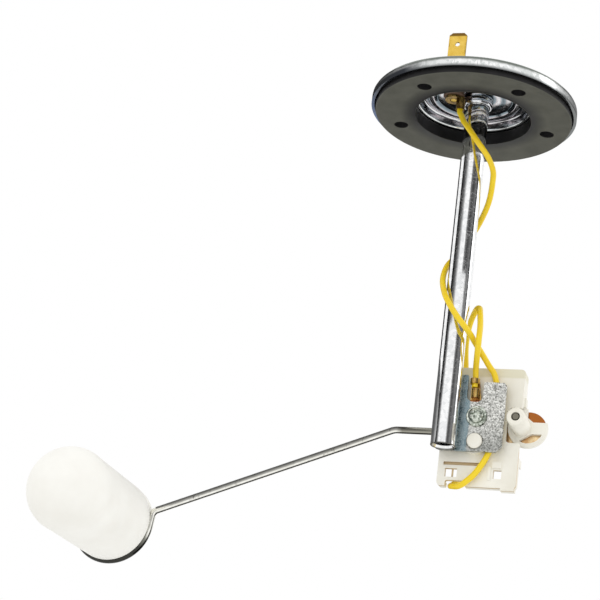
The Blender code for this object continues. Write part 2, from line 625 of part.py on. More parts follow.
def make_screw():
    """Pan-head screw with a cross recess, and its washer."""
    washer_back = PLATE_FRONT - SEAT_GAP
    washer_front = washer_back - SCREW_WASHER_SHEET
    hole = SCREW_DIAMETER / 2 + SEAT_GAP
    rim = SCREW_WASHER / 2
    ring = [(hole, washer_front), (rim - 0.2, washer_front), (rim, washer_front + 0.2), (rim, washer_back),
            (hole, washer_back)]
    turned("screw_washer", ring, ZINC, (SCREW_X, 0, SCREW_Z), "Y", 20)
    seat = washer_front - SEAT_GAP
    top = seat - SCREW_HEAD_HEIGHT
    head, shank = SCREW_HEAD / 2, SCREW_DIAMETER / 2
    outline = [(0, top), (head * 0.5, top + 0.12), (head * 0.85, top + 0.55), (head, top + 1.1), (head, seat),
               (shank, seat), (shank, seat + SCREW_LENGTH - 1.2), (0.4, seat + SCREW_LENGTH),
               (0, seat + SCREW_LENGTH)]
    screw = turned("bracket_screw", outline, ZINC, (SCREW_X, 0, SCREW_Z), "Y", 20)
    arm, half = head * 0.62, RECESS_WIDTH / 2
    level = box_outline(SCREW_X - arm, SCREW_X + arm, SCREW_Z - half, SCREW_Z + half)
    upright = box_outline(SCREW_X - half, SCREW_X + half, SCREW_Z - arm, SCREW_Z + arm)
    cut(screw, extruded("recess_level", level, top - 1, top + RECESS_DEPTH, ZINC))
    cut(screw, extruded("recess_upright", upright, top - 1, top + RECESS_DEPTH, ZINC))


# Resistor housing: an open-backed nylon tray
def make_housing():
    outline = box_outline(HOUSING_LEFT, HOUSING_RIGHT, HOUSING_BOTTOM, HOUSING_TOP, HOUSING_CORNER)
    tray = extruded("resistor_housing", outline, HOUSING_FRONT, HOUSING_BACK, NYLON)
    wall = HOUSING_WALL
    inside = box_outline(HOUSING_LEFT + wall, HOUSING_RIGHT - wall, HOUSING_BOTTOM + wall,
                         HOUSING_TOP - wall, 0.6)
    cut(tray, extruded("tray_inside", inside, HOUSING_INSIDE, HOUSING_BACK + 1, NYLON))
    foot = box_outline(HOUSING_LEFT - 1, HOUSING_RIGHT + 1, HOUSING_BOTTOM - 1, REAR_BOTTOM)
    cut(tray, extruded("open_foot", foot, HOUSING_FRONT + SKIRT_WALL_DEPTH, HOUSING_BACK + 1, NYLON))
    tab = box_outline(HOUSING_RIGHT - 0.5 - FOOT_TAB_WIDTH, HOUSING_RIGHT - 0.5, HOUSING_BOTTOM - FOOT_TAB_DROP,
                      HOUSING_BOTTOM + wall)
    fuse(tray, extruded("foot_tab", tab, HOUSING_FRONT, HOUSING_FRONT + SKIRT_WALL_DEPTH, NYLON))

    notch = [(PIVOT_X - HUB_DIAMETER / 2 - NOTCH_MARGIN, PIVOT_Z - NOTCH_HALF_HEIGHT, 1.5),
             (HOUSING_RIGHT + 6, PIVOT_Z - NOTCH_HALF_HEIGHT, 0),
             (HOUSING_RIGHT + 6, PIVOT_Z + NOTCH_HALF_HEIGHT, 0),
             (PIVOT_X - HUB_DIAMETER / 2 - NOTCH_MARGIN, PIVOT_Z + NOTCH_HALF_HEIGHT, 1.5)]
    cut(tray, extruded("hub_notch", fillet(notch), HOUSING_FRONT - 1, HOUSING_INSIDE + 0.5, NYLON))
    gate = box_outline(HOUSING_RIGHT - wall - 1, HOUSING_RIGHT + 2, PIVOT_Z - WALL_GATE_DROP,
                       PIVOT_Z + CARRIER_RADIUS + RUNNING_GAP)
    cut(tray, extruded("wall_gate", gate, HOUSING_INSIDE, HOUSING_BACK + 1, NYLON))

    sill = HOUSING_BOTTOM + WINDOW_SILL
    for side, left, width in (("left", LEFT_WINDOW_X, LEFT_WINDOW_WIDTH),
                              ("right", RIGHT_WINDOW_X, RIGHT_WINDOW_WIDTH)):
        opening = box_outline(left, left + width, sill, sill + WINDOW_HEIGHT)
        cut(tray, extruded(f"{side}_window", opening, HOUSING_FRONT - 1, HOUSING_BACK + 1, NYLON))
    ledge = sill + WINDOW_HEIGHT + GROOVE_WIDTH
    groove = box_outline(LEFT_WINDOW_X - 0.7, LEFT_WINDOW_X - 0.7 + GROOVE_LENGTH, ledge, ledge + GROOVE_WIDTH)
    cut(tray, extruded("shadow_groove", groove, HOUSING_FRONT - 1, HOUSING_FRONT + GROOVE_DEPTH, NYLON))
    hook = box_outline(RIGHT_WINDOW_X - 0.4, RIGHT_WINDOW_X + RIGHT_WINDOW_WIDTH, ledge - 0.5,
                       ledge + 1.6, 0.3)
    fuse(tray, extruded("snap_hook", hook, HOUSING_FRONT - 0.7, HOUSING_FRONT + 0.4, NYLON))
    rib = box_outline(RIGHT_WINDOW_X - 1.7, RIGHT_WINDOW_X - 0.8, sill - 0.6, sill + WINDOW_HEIGHT + 0.9, 0.2)
    fuse(tray, extruded("foot_rib", rib, HOUSING_FRONT - 0.5, HOUSING_FRONT + 0.4, NYLON))
    grip = box_outline(HOUSING_RIGHT - 0.4, HOUSING_RIGHT + 0.5, PIVOT_Z + GRIP_RISE,
                       PIVOT_Z + GRIP_RISE + GRIP_HEIGHT, 0.2)
    fuse(tray, extruded("side_grip", grip, HOUSING_BACK - 0.6 - GRIP_DEPTH, HOUSING_BACK - 0.6, NYLON))
    notch = box_outline(LEAD_NOTCH_LEFT, LEAD_NOTCH_RIGHT, HOUSING_BOTTOM - 1,
                        HOUSING_BOTTOM + LEAD_NOTCH_HEIGHT, 0.6)
    cut(tray, extruded("lead_notch", notch, HOUSING_FRONT - 1, HOUSING_BACK + 1, NYLON))

    boss_front = PLATE_BACK + SEAT_GAP
    screw_boss = disc_outline(SCREW_X, SCREW_Z, SCREW_DIAMETER / 2 + BOSS_WALL, 28)
    fuse(tray, extruded("screw_boss", screw_boss, boss_front, HOUSING_INSIDE, NYLON))
    peg_boss = disc_outline(SCREW_X, PEG_Z, PEG_DIAMETER / 2 + 1.2, 28)
    fuse(tray, extruded("peg_boss", peg_boss, boss_front, HOUSING_INSIDE, NYLON))
    peg_tip = PLATE_FRONT - PEG_PROUD
    radius = PEG_DIAMETER / 2
    peg = [(0, peg_tip), (radius - 0.3, peg_tip), (radius, peg_tip + 0.3), (radius, HOUSING_FRONT),
           (0, HOUSING_FRONT)]
    fuse(tray, turned("locating_peg", peg, NYLON, (SCREW_X, 0, PEG_Z), "Y", 28))
    drill(tray, "screw_pilot", SCREW_X, SCREW_Z, SCREW_DIAMETER + 2 * SEAT_GAP,
          boss_front - 1, HOUSING_INSIDE + 1)

    pad = box_outline(LUG_X - 1.9, LUG_RIVET_X + 1.7, LUG_RIVET_Z - 1.8, LUG_RIVET_Z + 2.6, 0.3)
    fuse(tray, extruded("lug_pad", pad, HOUSING_FRONT - 0.5, HOUSING_FRONT + 0.4, NYLON))
    drill(tray, "lug_rivet_hole", LUG_RIVET_X, LUG_RIVET_Z, 1.6 + 2 * SEAT_GAP,
          HOUSING_FRONT - 2, HOUSING_BACK, 16)
    fin = box_outline(LEFT_WINDOW_X + 2.1, LEFT_WINDOW_X + 2.6, sill - 0.3, sill + WINDOW_HEIGHT + 0.3)
    fuse(tray, extruded("window_fin", fin, HOUSING_INSIDE - 0.7, HOUSING_INSIDE, NYLON))
    brow = box_outline(HOUSING_LEFT - 1, HOUSING_RIGHT + 1, HOUSING_TOP - BROW_HEIGHT, HOUSING_TOP + 1)
    cut(tray, extruded("brow_step", brow, HOUSING_FRONT - 1, HOUSING_FRONT + BROW_DEPTH, NYLON))

    # Posts that hold the ends of the resistor card
    reach = TRACK_WIDTH / 2 + 1.0
    for name, side in (("upper_post", 1), ("lower_post", -1)):
        end = 180 - side * (TRACK_HALF_ANGLE + CARD_END_ANGLE + 1.0)
        post = sector_outline(TRACK_RADIUS - reach, TRACK_RADIUS + reach, end - 4.5, end + 4.5, 3)
        fuse(tray, extruded(name, post, HOUSING_INSIDE - 0.4, TRACK_BACK + 0.6, NYLON))
    half = TRACK_HALF_ANGLE + CARD_END_ANGLE
    slot = sector_outline(TRACK_RADIUS - TRACK_WIDTH / 2 + WINDING_WALL,
                          TRACK_RADIUS + TRACK_WIDTH / 2 - WINDING_WALL,
                          180 - half - 0.8, 180 + half + 0.8, 24)
    cut(tray, extruded("card_slot", slot, TRACK_FRONT + WINDING_WALL, TRACK_BACK - WINDING_WALL, NYLON))
    return tray


def make_rear_cover():
    """Rear plate with the axle's bearing and the two stops of the arm.

    At either end of the travel the arm's centre line passes a post at the distance aside.
    The empty stop stands at its own reach, and the full one as far out as the plate's top lets it.
    """
    wall = HOUSING_WALL
    inset = wall + SEAT_GAP
    outline = box_outline(HOUSING_LEFT + inset, HOUSING_RIGHT - inset, REAR_BOTTOM + SEAT_GAP,
                          HOUSING_TOP - inset, 0.4)
    cover = extruded("housing_back", outline, REAR_FRONT, REAR_BACK, NYLON)
    boss = disc_outline(PIVOT_X, PIVOT_Z, BEARING_DIAMETER / 2, 28)
    fuse(cover, extruded("bearing_boss", boss, REAR_FRONT, REAR_BACK + BEARING_PROUD, NYLON))
    drill(cover, "bearing_bore", PIVOT_X, PIVOT_Z, ARM_DIAMETER + BEARING_CLEARANCE,
          REAR_FRONT - 1, REAR_BACK + 2, 32)
    post = STOP_DIAMETER / 2
    aside = post + ARM_RADIUS + RUNNING_GAP
    travel = math.radians(ARM_TRAVEL)
    room = HOUSING_TOP - inset - PIVOT_Z - post - STOP_MARGIN
    full_reach = (room - aside * math.cos(travel)) / math.sin(travel)
    stops = {"empty_stop": (PIVOT_X - STOP_REACH, PIVOT_Z - aside),
             "full_stop": (PIVOT_X - full_reach * math.cos(travel) + aside * math.sin(travel),
                           PIVOT_Z + full_reach * math.sin(travel) + aside * math.cos(travel))}
    for name, (x, z) in stops.items():
        shaft = [(0, REAR_BACK - 0.5), (post, REAR_BACK - 0.5), (post, ARM_PLANE + ARM_RADIUS),
                 (post - 0.5, ARM_PLANE + ARM_RADIUS + 0.5), (0, ARM_PLANE + ARM_RADIUS + 0.5)]
        fuse(cover, turned(name, shaft, NYLON, (x, 0, z), "Y", 20))


# Resistor: card, winding and lug
def make_resistor():
    """Curved card with a ridged winding over it, centred on the pivot."""
    inner = TRACK_RADIUS - TRACK_WIDTH / 2
    outer = TRACK_RADIUS + TRACK_WIDTH / 2
    skin = WINDING_WALL + CARD_GAP
    half = TRACK_HALF_ANGLE + CARD_END_ANGLE
    card = sector_outline(inner + skin, outer - skin, 180 - half, 180 + half, 24)
    extruded("resistor_card", card, TRACK_FRONT + skin, TRACK_BACK - skin, PHENOLIC)

    bm = bmesh.new()
    rings = []
    stations = 2 * WINDING_TURNS + 1
    for station in range(stations):
        angle = math.radians(180 - TRACK_HALF_ANGLE + 2 * TRACK_HALF_ANGLE * station / (stations - 1))
        relief = WINDING_RELIEF if station % 2 else 0.0
        ring = []
        for shrink in (relief, WINDING_WALL):
            low, high = inner + shrink, outer - shrink
            front, back = TRACK_FRONT + shrink, TRACK_BACK - shrink
            for radius, y in ((low, front), (high, front), (high, back), (low, back)):
                x = PIVOT_X + radius * math.cos(angle)
                z = PIVOT_Z + radius * math.sin(angle)
                ring.append(bm.verts.new((x * MM, y * MM, z * MM)))
        rings.append(ring)
    for first, second in zip(rings, rings[1:]):
        for start in (0, 4):
            for side in range(4):
                a, b = start + side, start + (side + 1) % 4
                bm.faces.new((first[a], first[b], second[b], second[a]))
    for ring in (rings[0], rings[-1]):
        for side in range(4):
            following = (side + 1) % 4
            bm.faces.new((ring[side], ring[following], ring[4 + following], ring[4 + side]))
    add_object("resistor_winding", bm, RESISTANCE)


def make_resistor_lug():
    """Insulation ring and wire barrel on a tongue that is pinned to the housing's face."""
    tongue_back = HOUSING_FRONT - 0.5 - SEAT_GAP
    tongue_front = tongue_back - BRASS_SHEET
    corners = [(LUG_X - 1.3, LUG_TOP - 0.3, 0.2), (LUG_X - 1.3, LUG_RIVET_Z - 1.4, 1.1),
               (LUG_RIVET_X + 1.4, LUG_RIVET_Z - 1.4, 1.1), (LUG_X + 1.3, LUG_TOP - 0.3, 0.2)]
    lug = extruded("resistor_lug", fillet(corners), tongue_front, tongue_back, BRASS)
    inner, outer = BARREL_OUTER - BARREL_WALL, BARREL_OUTER
    low = LUG_TOP - LUG_GRIP_LENGTH
    ring = [(inner, LUG_TOP), (outer, LUG_TOP), (outer, low), (inner, low)]
    fuse(lug, turned("lug_grip", ring, BRASS, (LUG_X, LUG_Y, 0), segments=18))
    radius = LUG_BARREL_DIAMETER / 2
    x, y = LUG_X + LUG_BARREL_SHIFT, tongue_front - radius + 0.35
    top, bottom = LUG_BARREL_TOP, LUG_BARREL_TOP - LUG_BARREL_LENGTH
    barrel = [(0, top), (radius - 0.2, top), (radius, top - 0.2), (radius, bottom), (0, bottom)]
    fuse(lug, turned("lug_barrel", barrel, BRASS, (x, y, 0), segments=18))
    seam = box_outline(x - LUG_SEAM / 2, x + LUG_SEAM / 2, bottom - 1, top + 1)
    cut(lug, extruded("lug_seam", seam, y - radius - 1, y - radius + LUG_SEAM, BRASS))
    drill(lug, "lug_hole", LUG_RIVET_X, LUG_RIVET_Z, 1.6 + 2 * SEAT_GAP,
          tongue_front - 0.2, tongue_back + 1, 16)
    head = LUG_RIVET_HEAD / 2
    seat = tongue_front - SEAT_GAP
    end = HOUSING_INSIDE - SEAT_GAP
    rivet = [(0, seat - 0.5), (head * 0.6, seat - 0.5), (head, seat - 0.1), (head, seat), (0.8, seat),
             (0.8, end - 0.3), (0.5, end), (0, end)]
    turned("lug_rivet", rivet, COPPER, (LUG_RIVET_X, 0, LUG_RIVET_Z), "Y", 16)


# Rotor, wiper and arm: the moving body
def make_pivot():
    """Empty on the arm's axis, which carries every moving piece."""
    pivot = bpy.data.objects.new("arm_pivot", None)
    pivot.location = Vector((PIVOT_X, 0, PIVOT_Z)) * MM
    bpy.context.scene.collection.objects.link(pivot)
    return pivot


def hang(item, pivot):
    """Give a piece its origin on the axis and parent it there, without moving it."""
    item.data.transform(Matrix.Translation(-pivot.location))
    item.parent = pivot


def carrier_outline(radius):
    """Disc of the wiper carrier, offset to the right of the hub."""
    return disc_outline(PIVOT_X + CARRIER_OFFSET, PIVOT_Z, radius, 36)


def make_rotor(pivot):
    """Hub with a carrier disc, open above and below its cross bar."""
    radius = HUB_DIAMETER / 2
    back = REAR_FRONT - RUNNING_GAP
    hub = [(0, HUB_FRONT), (radius - HUB_CHAMFER, HUB_FRONT), (radius, HUB_FRONT + HUB_CHAMFER), (radius, back),
           (0, back)]
    rotor = turned("rotor", hub, NYLON, (PIVOT_X, 0, PIVOT_Z), "Y", 28)
    disc = extruded("carrier_disc", carrier_outline(CARRIER_RADIUS), CARRIER_FRONT, CARRIER_BACK, NYLON)
    fuse(rotor, disc)
    bar = CARRIER_BAR / 2
    centre = PIVOT_X + CARRIER_OFFSET
    rim = CARRIER_RADIUS - CARRIER_RIM
    keep = PIVOT_X + radius + 0.2
    half_chord = math.sqrt(rim ** 2 - bar ** 2)
    lower = [(PIVOT_X + 0.6, PIVOT_Z - radius - 0.5), (keep, PIVOT_Z - bar), (centre + half_chord, PIVOT_Z - bar)]
    for step in range(1, 8):
        angle = -math.asin(bar / rim) - step * math.radians(14)
        lower.append((centre + rim * math.cos(angle), PIVOT_Z + rim * math.sin(angle)))
    cut(rotor, extruded("lower_window", lower, CARRIER_FRONT - 0.5, CARRIER_BACK + 0.5, NYLON))
    top = PIVOT_Z + CARRIER_RADIUS + 1
    upper = [(PIVOT_X + 1.6, PIVOT_Z + radius + 0.6), (keep + 0.4, PIVOT_Z + bar),
             (centre + CARRIER_RADIUS + 1, PIVOT_Z + bar), (centre + CARRIER_RADIUS + 1, top),
             (PIVOT_X + 1.6, top)]
    cut(rotor, extruded("upper_window", upper, CARRIER_FRONT - 0.5, CARRIER_BACK + 0.5, NYLON))
    stud = disc_outline(centre + 4.0, PIVOT_Z, 0.9, 16)
    fuse(rotor, extruded("wiper_stud", stud, CARRIER_FRONT + 0.5, WIPER_BACK + 0.5, NYLON))
    drill(rotor, "axle_bore", PIVOT_X, PIVOT_Z, ARM_DIAMETER + 2 * SEAT_GAP, HUB_FRONT - 1, back + 1, 24)
    hang(rotor, pivot)


def make_wiper(pivot):
    """Copper leaf behind the carrier, with a finger to the resistor track."""
    leaf = extruded("wiper_leaf", carrier_outline(CARRIER_RADIUS - WIPER_MARGIN),
                    WIPER_FRONT, WIPER_BACK, COPPER)
    rest = math.radians(180 + ARM_TRAVEL / 2)
    along = Vector((math.cos(rest), math.sin(rest)))
    across = Vector((-along.y, along.x))
    hub = Vector((PIVOT_X, PIVOT_Z))
    tip = TRACK_RADIUS + CONTACT_DIAMETER / 2 + 0.5
    finger = [hub + across * 3.6, hub - across * 3.6, hub + along * tip - across * WIPER_TIP_WIDTH / 2,
              hub + along * tip + across * WIPER_TIP_WIDTH / 2]
    fuse(leaf, extruded("wiper_finger", [tuple(p) for p in finger], WIPER_FRONT, WIPER_BACK, COPPER))
    drill(leaf, "leaf_bore", PIVOT_X, PIVOT_Z, HUB_DIAMETER + 2 * SEAT_GAP,
          WIPER_FRONT - 1, WIPER_BACK + 1, 28)
    drill(leaf, "leaf_stud_hole", PIVOT_X + CARRIER_OFFSET + 4.0, PIVOT_Z, 1.8 + 2 * SEAT_GAP,
          WIPER_FRONT - 1, WIPER_BACK + 1, 16)
    spot = hub + along * TRACK_RADIUS
    drill(leaf, "leaf_contact_hole", spot.x, spot.y, 0.8 + 2 * SEAT_GAP, WIPER_FRONT - 1, WIPER_BACK + 1, 16)
    hang(leaf, pivot)
    front = TRACK_BACK + SEAT_GAP
    button, shank = CONTACT_DIAMETER / 2, 0.4
    under = WIPER_FRONT - SEAT_GAP
    over = WIPER_BACK + SEAT_GAP
    outline = [(0, front), (button * 0.6, front), (button, front + 0.2), (button, under), (shank, under),
               (shank, over), (button, over), (button * 0.7, over + 0.3), (0, over + 0.3)]
    contact = turned("wiper_contact", outline, BRASS, (spot.x, 0, spot.y), "Y", 16)
    hang(contact, pivot)


def arm_points():
    """Centreline of the arm: axle, level run, slope, then the hook round the float."""
    touch = Vector((ARM_TIP_X, ARM_TIP_Z))
    corner = touch + HOOK_LEAD * Vector((-math.sin(HOOK_START), math.cos(HOOK_START)))
    flat = fillet([(PIVOT_X - AXLE_BEND, PIVOT_Z, 0), (KNEE_X, PIVOT_Z, KNEE_BEND),
                   (corner.x, corner.y, HOOK_BEND),
                   (touch.x, touch.y, 0)], steps=6, closed=False)
    points = [(PIVOT_X, AXLE_FRONT, PIVOT_Z)]
    for step in range(6):
        angle = math.radians(90 * step / 5)
        points.append((PIVOT_X - AXLE_BEND * (1 - math.cos(angle)),
                       ARM_PLANE - AXLE_BEND * (1 - math.sin(angle)), PIVOT_Z))
    points += [(x, ARM_PLANE, z) for x, z in flat[1:]]
    steps = 22
    for step in range(1, steps + 1):
        angle = HOOK_START - math.radians(HOOK_SWEEP) * step / steps
        points.append((FLOAT_X + HOOK_RADIUS * math.cos(angle), ARM_PLANE,
                       FLOAT_Z + HOOK_RADIUS * math.sin(angle)))
    return points


def make_arm(pivot):
    """Bent steel wire that is both the axle and the float's arm."""
    arm = round_bar("float_arm", arm_points(), ARM_DIAMETER, STEEL, 3, origin=(PIVOT_X, 0, PIVOT_Z))
    arm.parent = pivot
    arm.matrix_parent_inverse = Matrix.Translation(-pivot.location)


def make_float(pivot):
    """Moulded float with a domed near end and a groove for the hook."""
    groove_centre = ARM_PLANE
    groove_near = groove_centre - FLOAT_GROOVE_WIDTH / 2
    groove_far = groove_centre + FLOAT_GROOVE_WIDTH / 2
    near, far = FLOAT_NEAR_DIAMETER / 2, FLOAT_FAR_DIAMETER / 2
    dome = groove_near - FLOAT_BARREL
    lip = FLOAT_LIP_DIAMETER / 2
    floor = far - FLOAT_GROOVE_DEPTH
    outline = []
    for step in range(7):
        angle = math.radians(90 * step / 6)
        outline.append((near * math.sin(angle), dome - near * 0.94 * math.cos(angle)))
    outline[0] = (0, outline[0][1])
    outline += [(far, groove_near), (floor, groove_near + 0.3), (floor, groove_far - 0.3), (lip, groove_far),
                (lip, groove_far + FLOAT_LIP - 0.6), (lip - 0.8, groove_far + FLOAT_LIP),
                (0, groove_far + FLOAT_LIP)]
    body = turned("float", outline, FLOAT_WHITE, (FLOAT_X, 0, FLOAT_Z), "Y", 36)
    hang(body, pivot)


def make_lead():
    """One insulated wire, crimped at both ends."""
    points = [LEAD_START] + smooth_route(LEAD_ROUTE, LEAD_POINT_SPACING) + [LEAD_END]
    round_bar("signal_lead", points, LEAD_DIAMETER, YELLOW, 2)


def build():
    clear_scene()
    make_gasket()
    make_cover()
    make_stem()
    make_terminal()
    make_bracket()
    make_screw()
    make_housing()
    make_rear_cover()
    make_resistor()
    make_resistor_lug()
    pivot = make_pivot()
    make_rotor(pivot)
    make_wiper(pivot)
    make_arm(pivot)
    make_float(pivot)
    make_lead()


build()
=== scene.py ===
# %% [markdown]
# # A fuel level sender, dressed for its picture
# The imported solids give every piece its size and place. This script gives them
# their fine surfaces and their finishes: bright zinc, brass, copper, black
# rubber, natural nylon, a milky float and a yellow lead.

# %% Load the solids
import json
import math

import bmesh
import bpy
import numpy as np
from mathutils import Matrix, Vector


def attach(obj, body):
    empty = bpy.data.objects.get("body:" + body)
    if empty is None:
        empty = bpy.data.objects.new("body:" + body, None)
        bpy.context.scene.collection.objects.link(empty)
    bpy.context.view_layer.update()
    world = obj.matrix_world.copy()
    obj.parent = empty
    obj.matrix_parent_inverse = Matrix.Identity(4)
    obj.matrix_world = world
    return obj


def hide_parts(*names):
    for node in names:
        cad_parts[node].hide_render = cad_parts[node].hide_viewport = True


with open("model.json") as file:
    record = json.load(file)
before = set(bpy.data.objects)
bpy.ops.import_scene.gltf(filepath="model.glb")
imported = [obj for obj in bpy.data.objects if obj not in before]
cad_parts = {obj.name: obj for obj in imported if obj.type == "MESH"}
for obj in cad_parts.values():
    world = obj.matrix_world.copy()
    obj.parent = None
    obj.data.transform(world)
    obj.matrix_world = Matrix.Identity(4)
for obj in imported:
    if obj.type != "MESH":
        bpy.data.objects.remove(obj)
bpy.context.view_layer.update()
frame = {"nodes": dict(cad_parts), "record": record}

MM = 0.001

# %% [markdown]
# ## The camera
# The photograph looks up at the sender from below and a little from the right.
# A camera could be aimed at a target and nudged by eye. Here its place was found
# by fitting known points of the object, so its three directions are written out,
# with its place in metres and the lens as a focal length and a shift.

# %% Camera
right = Vector((0.95684343, 0.26230104, 0.12509519))
forward = Vector((-0.29035781, 0.88063427, 0.37440035))
up = Vector((-0.01195752, -0.39456488, 0.91879028))
eye = Vector((0.132251, -0.548591, -0.280940))
camera_data = bpy.data.cameras.new("camera")
camera_data.sensor_width = 36.0
camera_data.lens = 108.0
camera_data.shift_x = -0.0368
camera_data.shift_y = -0.0934
camera_data.clip_start = 0.01
camera = bpy.data.objects.new("camera", camera_data)
bpy.context.scene.collection.objects.link(camera)
turn = Matrix((right, up, -forward)).transposed().to_4x4()
camera.matrix_world = Matrix.Translation(eye) @ turn
bpy.context.scene.camera = camera
print("lens:", camera_data.lens, "mm")

# %% [markdown]
# ## Short words for nodes
# A material is a tree of nodes, and writing one out is long-winded. Six helpers
# keep every recipe short: they add a node with its settings, link sockets, open
# a group, colour a pattern, change its range and mix two colours.

# %% Node helpers
def add(tree, kind, **settings):
    """Adds a node; a setting named in_X goes to input X, others to the node."""
    node = tree.nodes.new(kind)
    for name, value in settings.items():
        if name.startswith("in_"):
            key = name[3:]
            node.inputs[int(key) if key.isdigit() else key.replace("_", " ")].default_value = value
        else:
            setattr(node, name, value)
    return node


def wire(tree, *pairs):
    """Links sockets, each pair from its source to its target."""
    for source, target in pairs:
        tree.links.new(source, target)


def group(name, values, results):
    """A node group with a Vector input, named inputs with their values, and named outputs."""
    tree = bpy.data.node_groups.new(name, "ShaderNodeTree")
    tree.interface.new_socket("Vector", in_out="INPUT", socket_type="NodeSocketVector")
    for label, value in values.items():
        socket = tree.interface.new_socket(label, in_out="INPUT", socket_type="NodeSocketFloat")
        socket.default_value = value
    for label in results:
        tree.interface.new_socket(label, in_out="OUTPUT", socket_type="NodeSocketFloat")
    return tree, tree.nodes.new("NodeGroupInput").outputs, tree.nodes.new("NodeGroupOutput").inputs


def ramp(tree, source, stops):
    """A colour ramp through (position, colour) stops."""
    node = tree.nodes.new("ShaderNodeValToRGB")
    while len(node.color_ramp.elements) < len(stops):
        node.color_ramp.elements.new(0.5)
    for element, (place, colour) in zip(node.color_ramp.elements, stops):
        element.position = place
        element.color = (*colour, 1.0)
    tree.links.new(source, node.inputs["Fac"])
    return node.outputs["Color"]


def remap(tree, source, low, high, new_low, new_high):
    """Maps the range low to high onto another range, clamped."""
    node = add(tree, "ShaderNodeMapRange", in_1=low, in_2=high, in_3=new_low, in_4=new_high)
    tree.links.new(source, node.inputs[0])
    return node.outputs[0]


def mix(tree, mask, below, above):
    """Mixes two colours, each a tuple or a socket, by a mask or a number."""
    node = add(tree, "ShaderNodeMix", data_type="RGBA")
    if isinstance(mask, float):
        node.inputs["Factor"].default_value = mask
    else:
        tree.links.new(mask, node.inputs["Factor"])
    for socket, colour in ((node.inputs[6], below), (node.inputs[7], above)):
        if isinstance(colour, tuple):
            socket.default_value = (*colour, 1.0)
        else:
            tree.links.new(colour, socket)
    return node.outputs[2]


# %% [markdown]
# ## The crystals of a plating
# Zinc grows on steel in small crystals that each catch the light differently.
# A photograph of a plated sheet could be wrapped round, but a Voronoi pattern
# fits any shape: it gives each cell a shade, and a cloudy noise joins them.

# %% Plating crystals
CELL_SHARE = 0.55
crystals, given, result = group("plating_crystals", {"Cells": 1200.0, "Cloud": 160.0}, ["Shade", "Height"])
cells = add(crystals, "ShaderNodeTexVoronoi")
cloud = add(crystals, "ShaderNodeTexNoise", in_Detail=6.0, in_Roughness=0.65)
channels = add(crystals, "ShaderNodeSeparateColor")
shade = add(crystals, "ShaderNodeMath", operation="MULTIPLY_ADD", in_1=CELL_SHARE)
cloud_part = add(crystals, "ShaderNodeMath", operation="MULTIPLY", in_1=1.0 - CELL_SHARE)
wire(crystals,
     (given["Vector"], cells.inputs["Vector"]), (given["Cells"], cells.inputs["Scale"]),
     (given["Vector"], cloud.inputs["Vector"]), (given["Cloud"], cloud.inputs["Scale"]),
     (cells.outputs["Color"], channels.inputs[0]), (channels.outputs[0], shade.inputs[0]),
     (cloud.outputs[0], cloud_part.inputs[0]), (cloud_part.outputs[0], shade.inputs[2]),
     (shade.outputs[0], result["Shade"]), (channels.outputs[1], result["Height"]))
print("effect:", crystals.name)

# %% [markdown]
# ## The skin of a moulding
# Moulded plastic and rubber are never one flat colour. The tone drifts slowly
# with the flow of the melt, and the mould leaves a fine grain. Two noises of
# very different sizes give both.

# %% Moulded skin
skin, given, result = group("moulded_skin", {"Cloud": 90.0, "Grain": 2600.0}, ["Tone", "Height"])
slow = add(skin, "ShaderNodeTexNoise", in_Detail=3.0)
fine = add(skin, "ShaderNodeTexNoise", in_Detail=4.0, in_Roughness=0.7)
wire(skin,
     (given["Vector"], slow.inputs["Vector"]), (given["Cloud"], slow.inputs["Scale"]),
     (given["Vector"], fine.inputs["Vector"]), (given["Grain"], fine.inputs["Scale"]),
     (slow.outputs[0], result["Tone"]), (fine.outputs[0], result["Height"]))
print("effect:", skin.name)

# %% [markdown]
# ## The marks of handling
# Metal that has been through a works carries sparse fine lines. They could be
# drawn one by one. A noise that is drawn out along Z and cut off high leaves
# only such lines, and it never repeats.

# %% Handling marks
MARK_EDGE = 0.06
marks, given, result = group("handling_marks", {"Size": 300.0, "Amount": 0.62}, ["Mask"])
stretch = add(marks, "ShaderNodeMapping", in_Scale=(1.0, 1.0, 0.12))
lines = add(marks, "ShaderNodeTexNoise", in_Detail=5.0, in_Roughness=0.75)
full = add(marks, "ShaderNodeMath", operation="ADD", in_1=MARK_EDGE)
cutoff = add(marks, "ShaderNodeMapRange", in_3=0.0, in_4=1.0)
wire(marks,
     (given["Vector"], stretch.inputs["Vector"]), (stretch.outputs[0], lines.inputs["Vector"]),
     (given["Size"], lines.inputs["Scale"]), (lines.outputs[0], cutoff.inputs[0]),
     (given["Amount"], cutoff.inputs[1]), (given["Amount"], full.inputs[0]),
     (full.outputs[0], cutoff.inputs[2]), (cutoff.outputs[0], result["Mask"]))
print("effect:", marks.name)


# %% [markdown]
# ## Starting a finish
# Every finish starts from one function that makes a Principled material and
# hands back its tree, so that each recipe reads as a short list of what the
# surface has: colours, roughness and relief.

# %% Finish helpers
def start_finish(name, roughness, metallic=0.0, **constants):
    """A Principled material with constants on its own sockets, and its object coordinates."""
    material = bpy.data.materials.new(name)
    material.use_nodes = True
    tree = material.node_tree
    shader = tree.nodes["Principled BSDF"]
    shader.inputs["Roughness"].default_value = roughness
    shader.inputs["Metallic"].default_value = metallic
    for key, value in constants.items():
        shader.inputs[key.replace("_", " ")].default_value = value
    place = tree.nodes.new("ShaderNodeTexCoord").outputs["Object"]
    return material, tree, shader, place


def use(tree, effect, place, **values):
    """Places an effect group in a material with its own values."""
    node = tree.nodes.new("ShaderNodeGroup")
    node.node_tree = effect
    tree.links.new(place, node.inputs["Vector"])
    for key, value in values.items():
        node.inputs[key].default_value = value
    return node.outputs


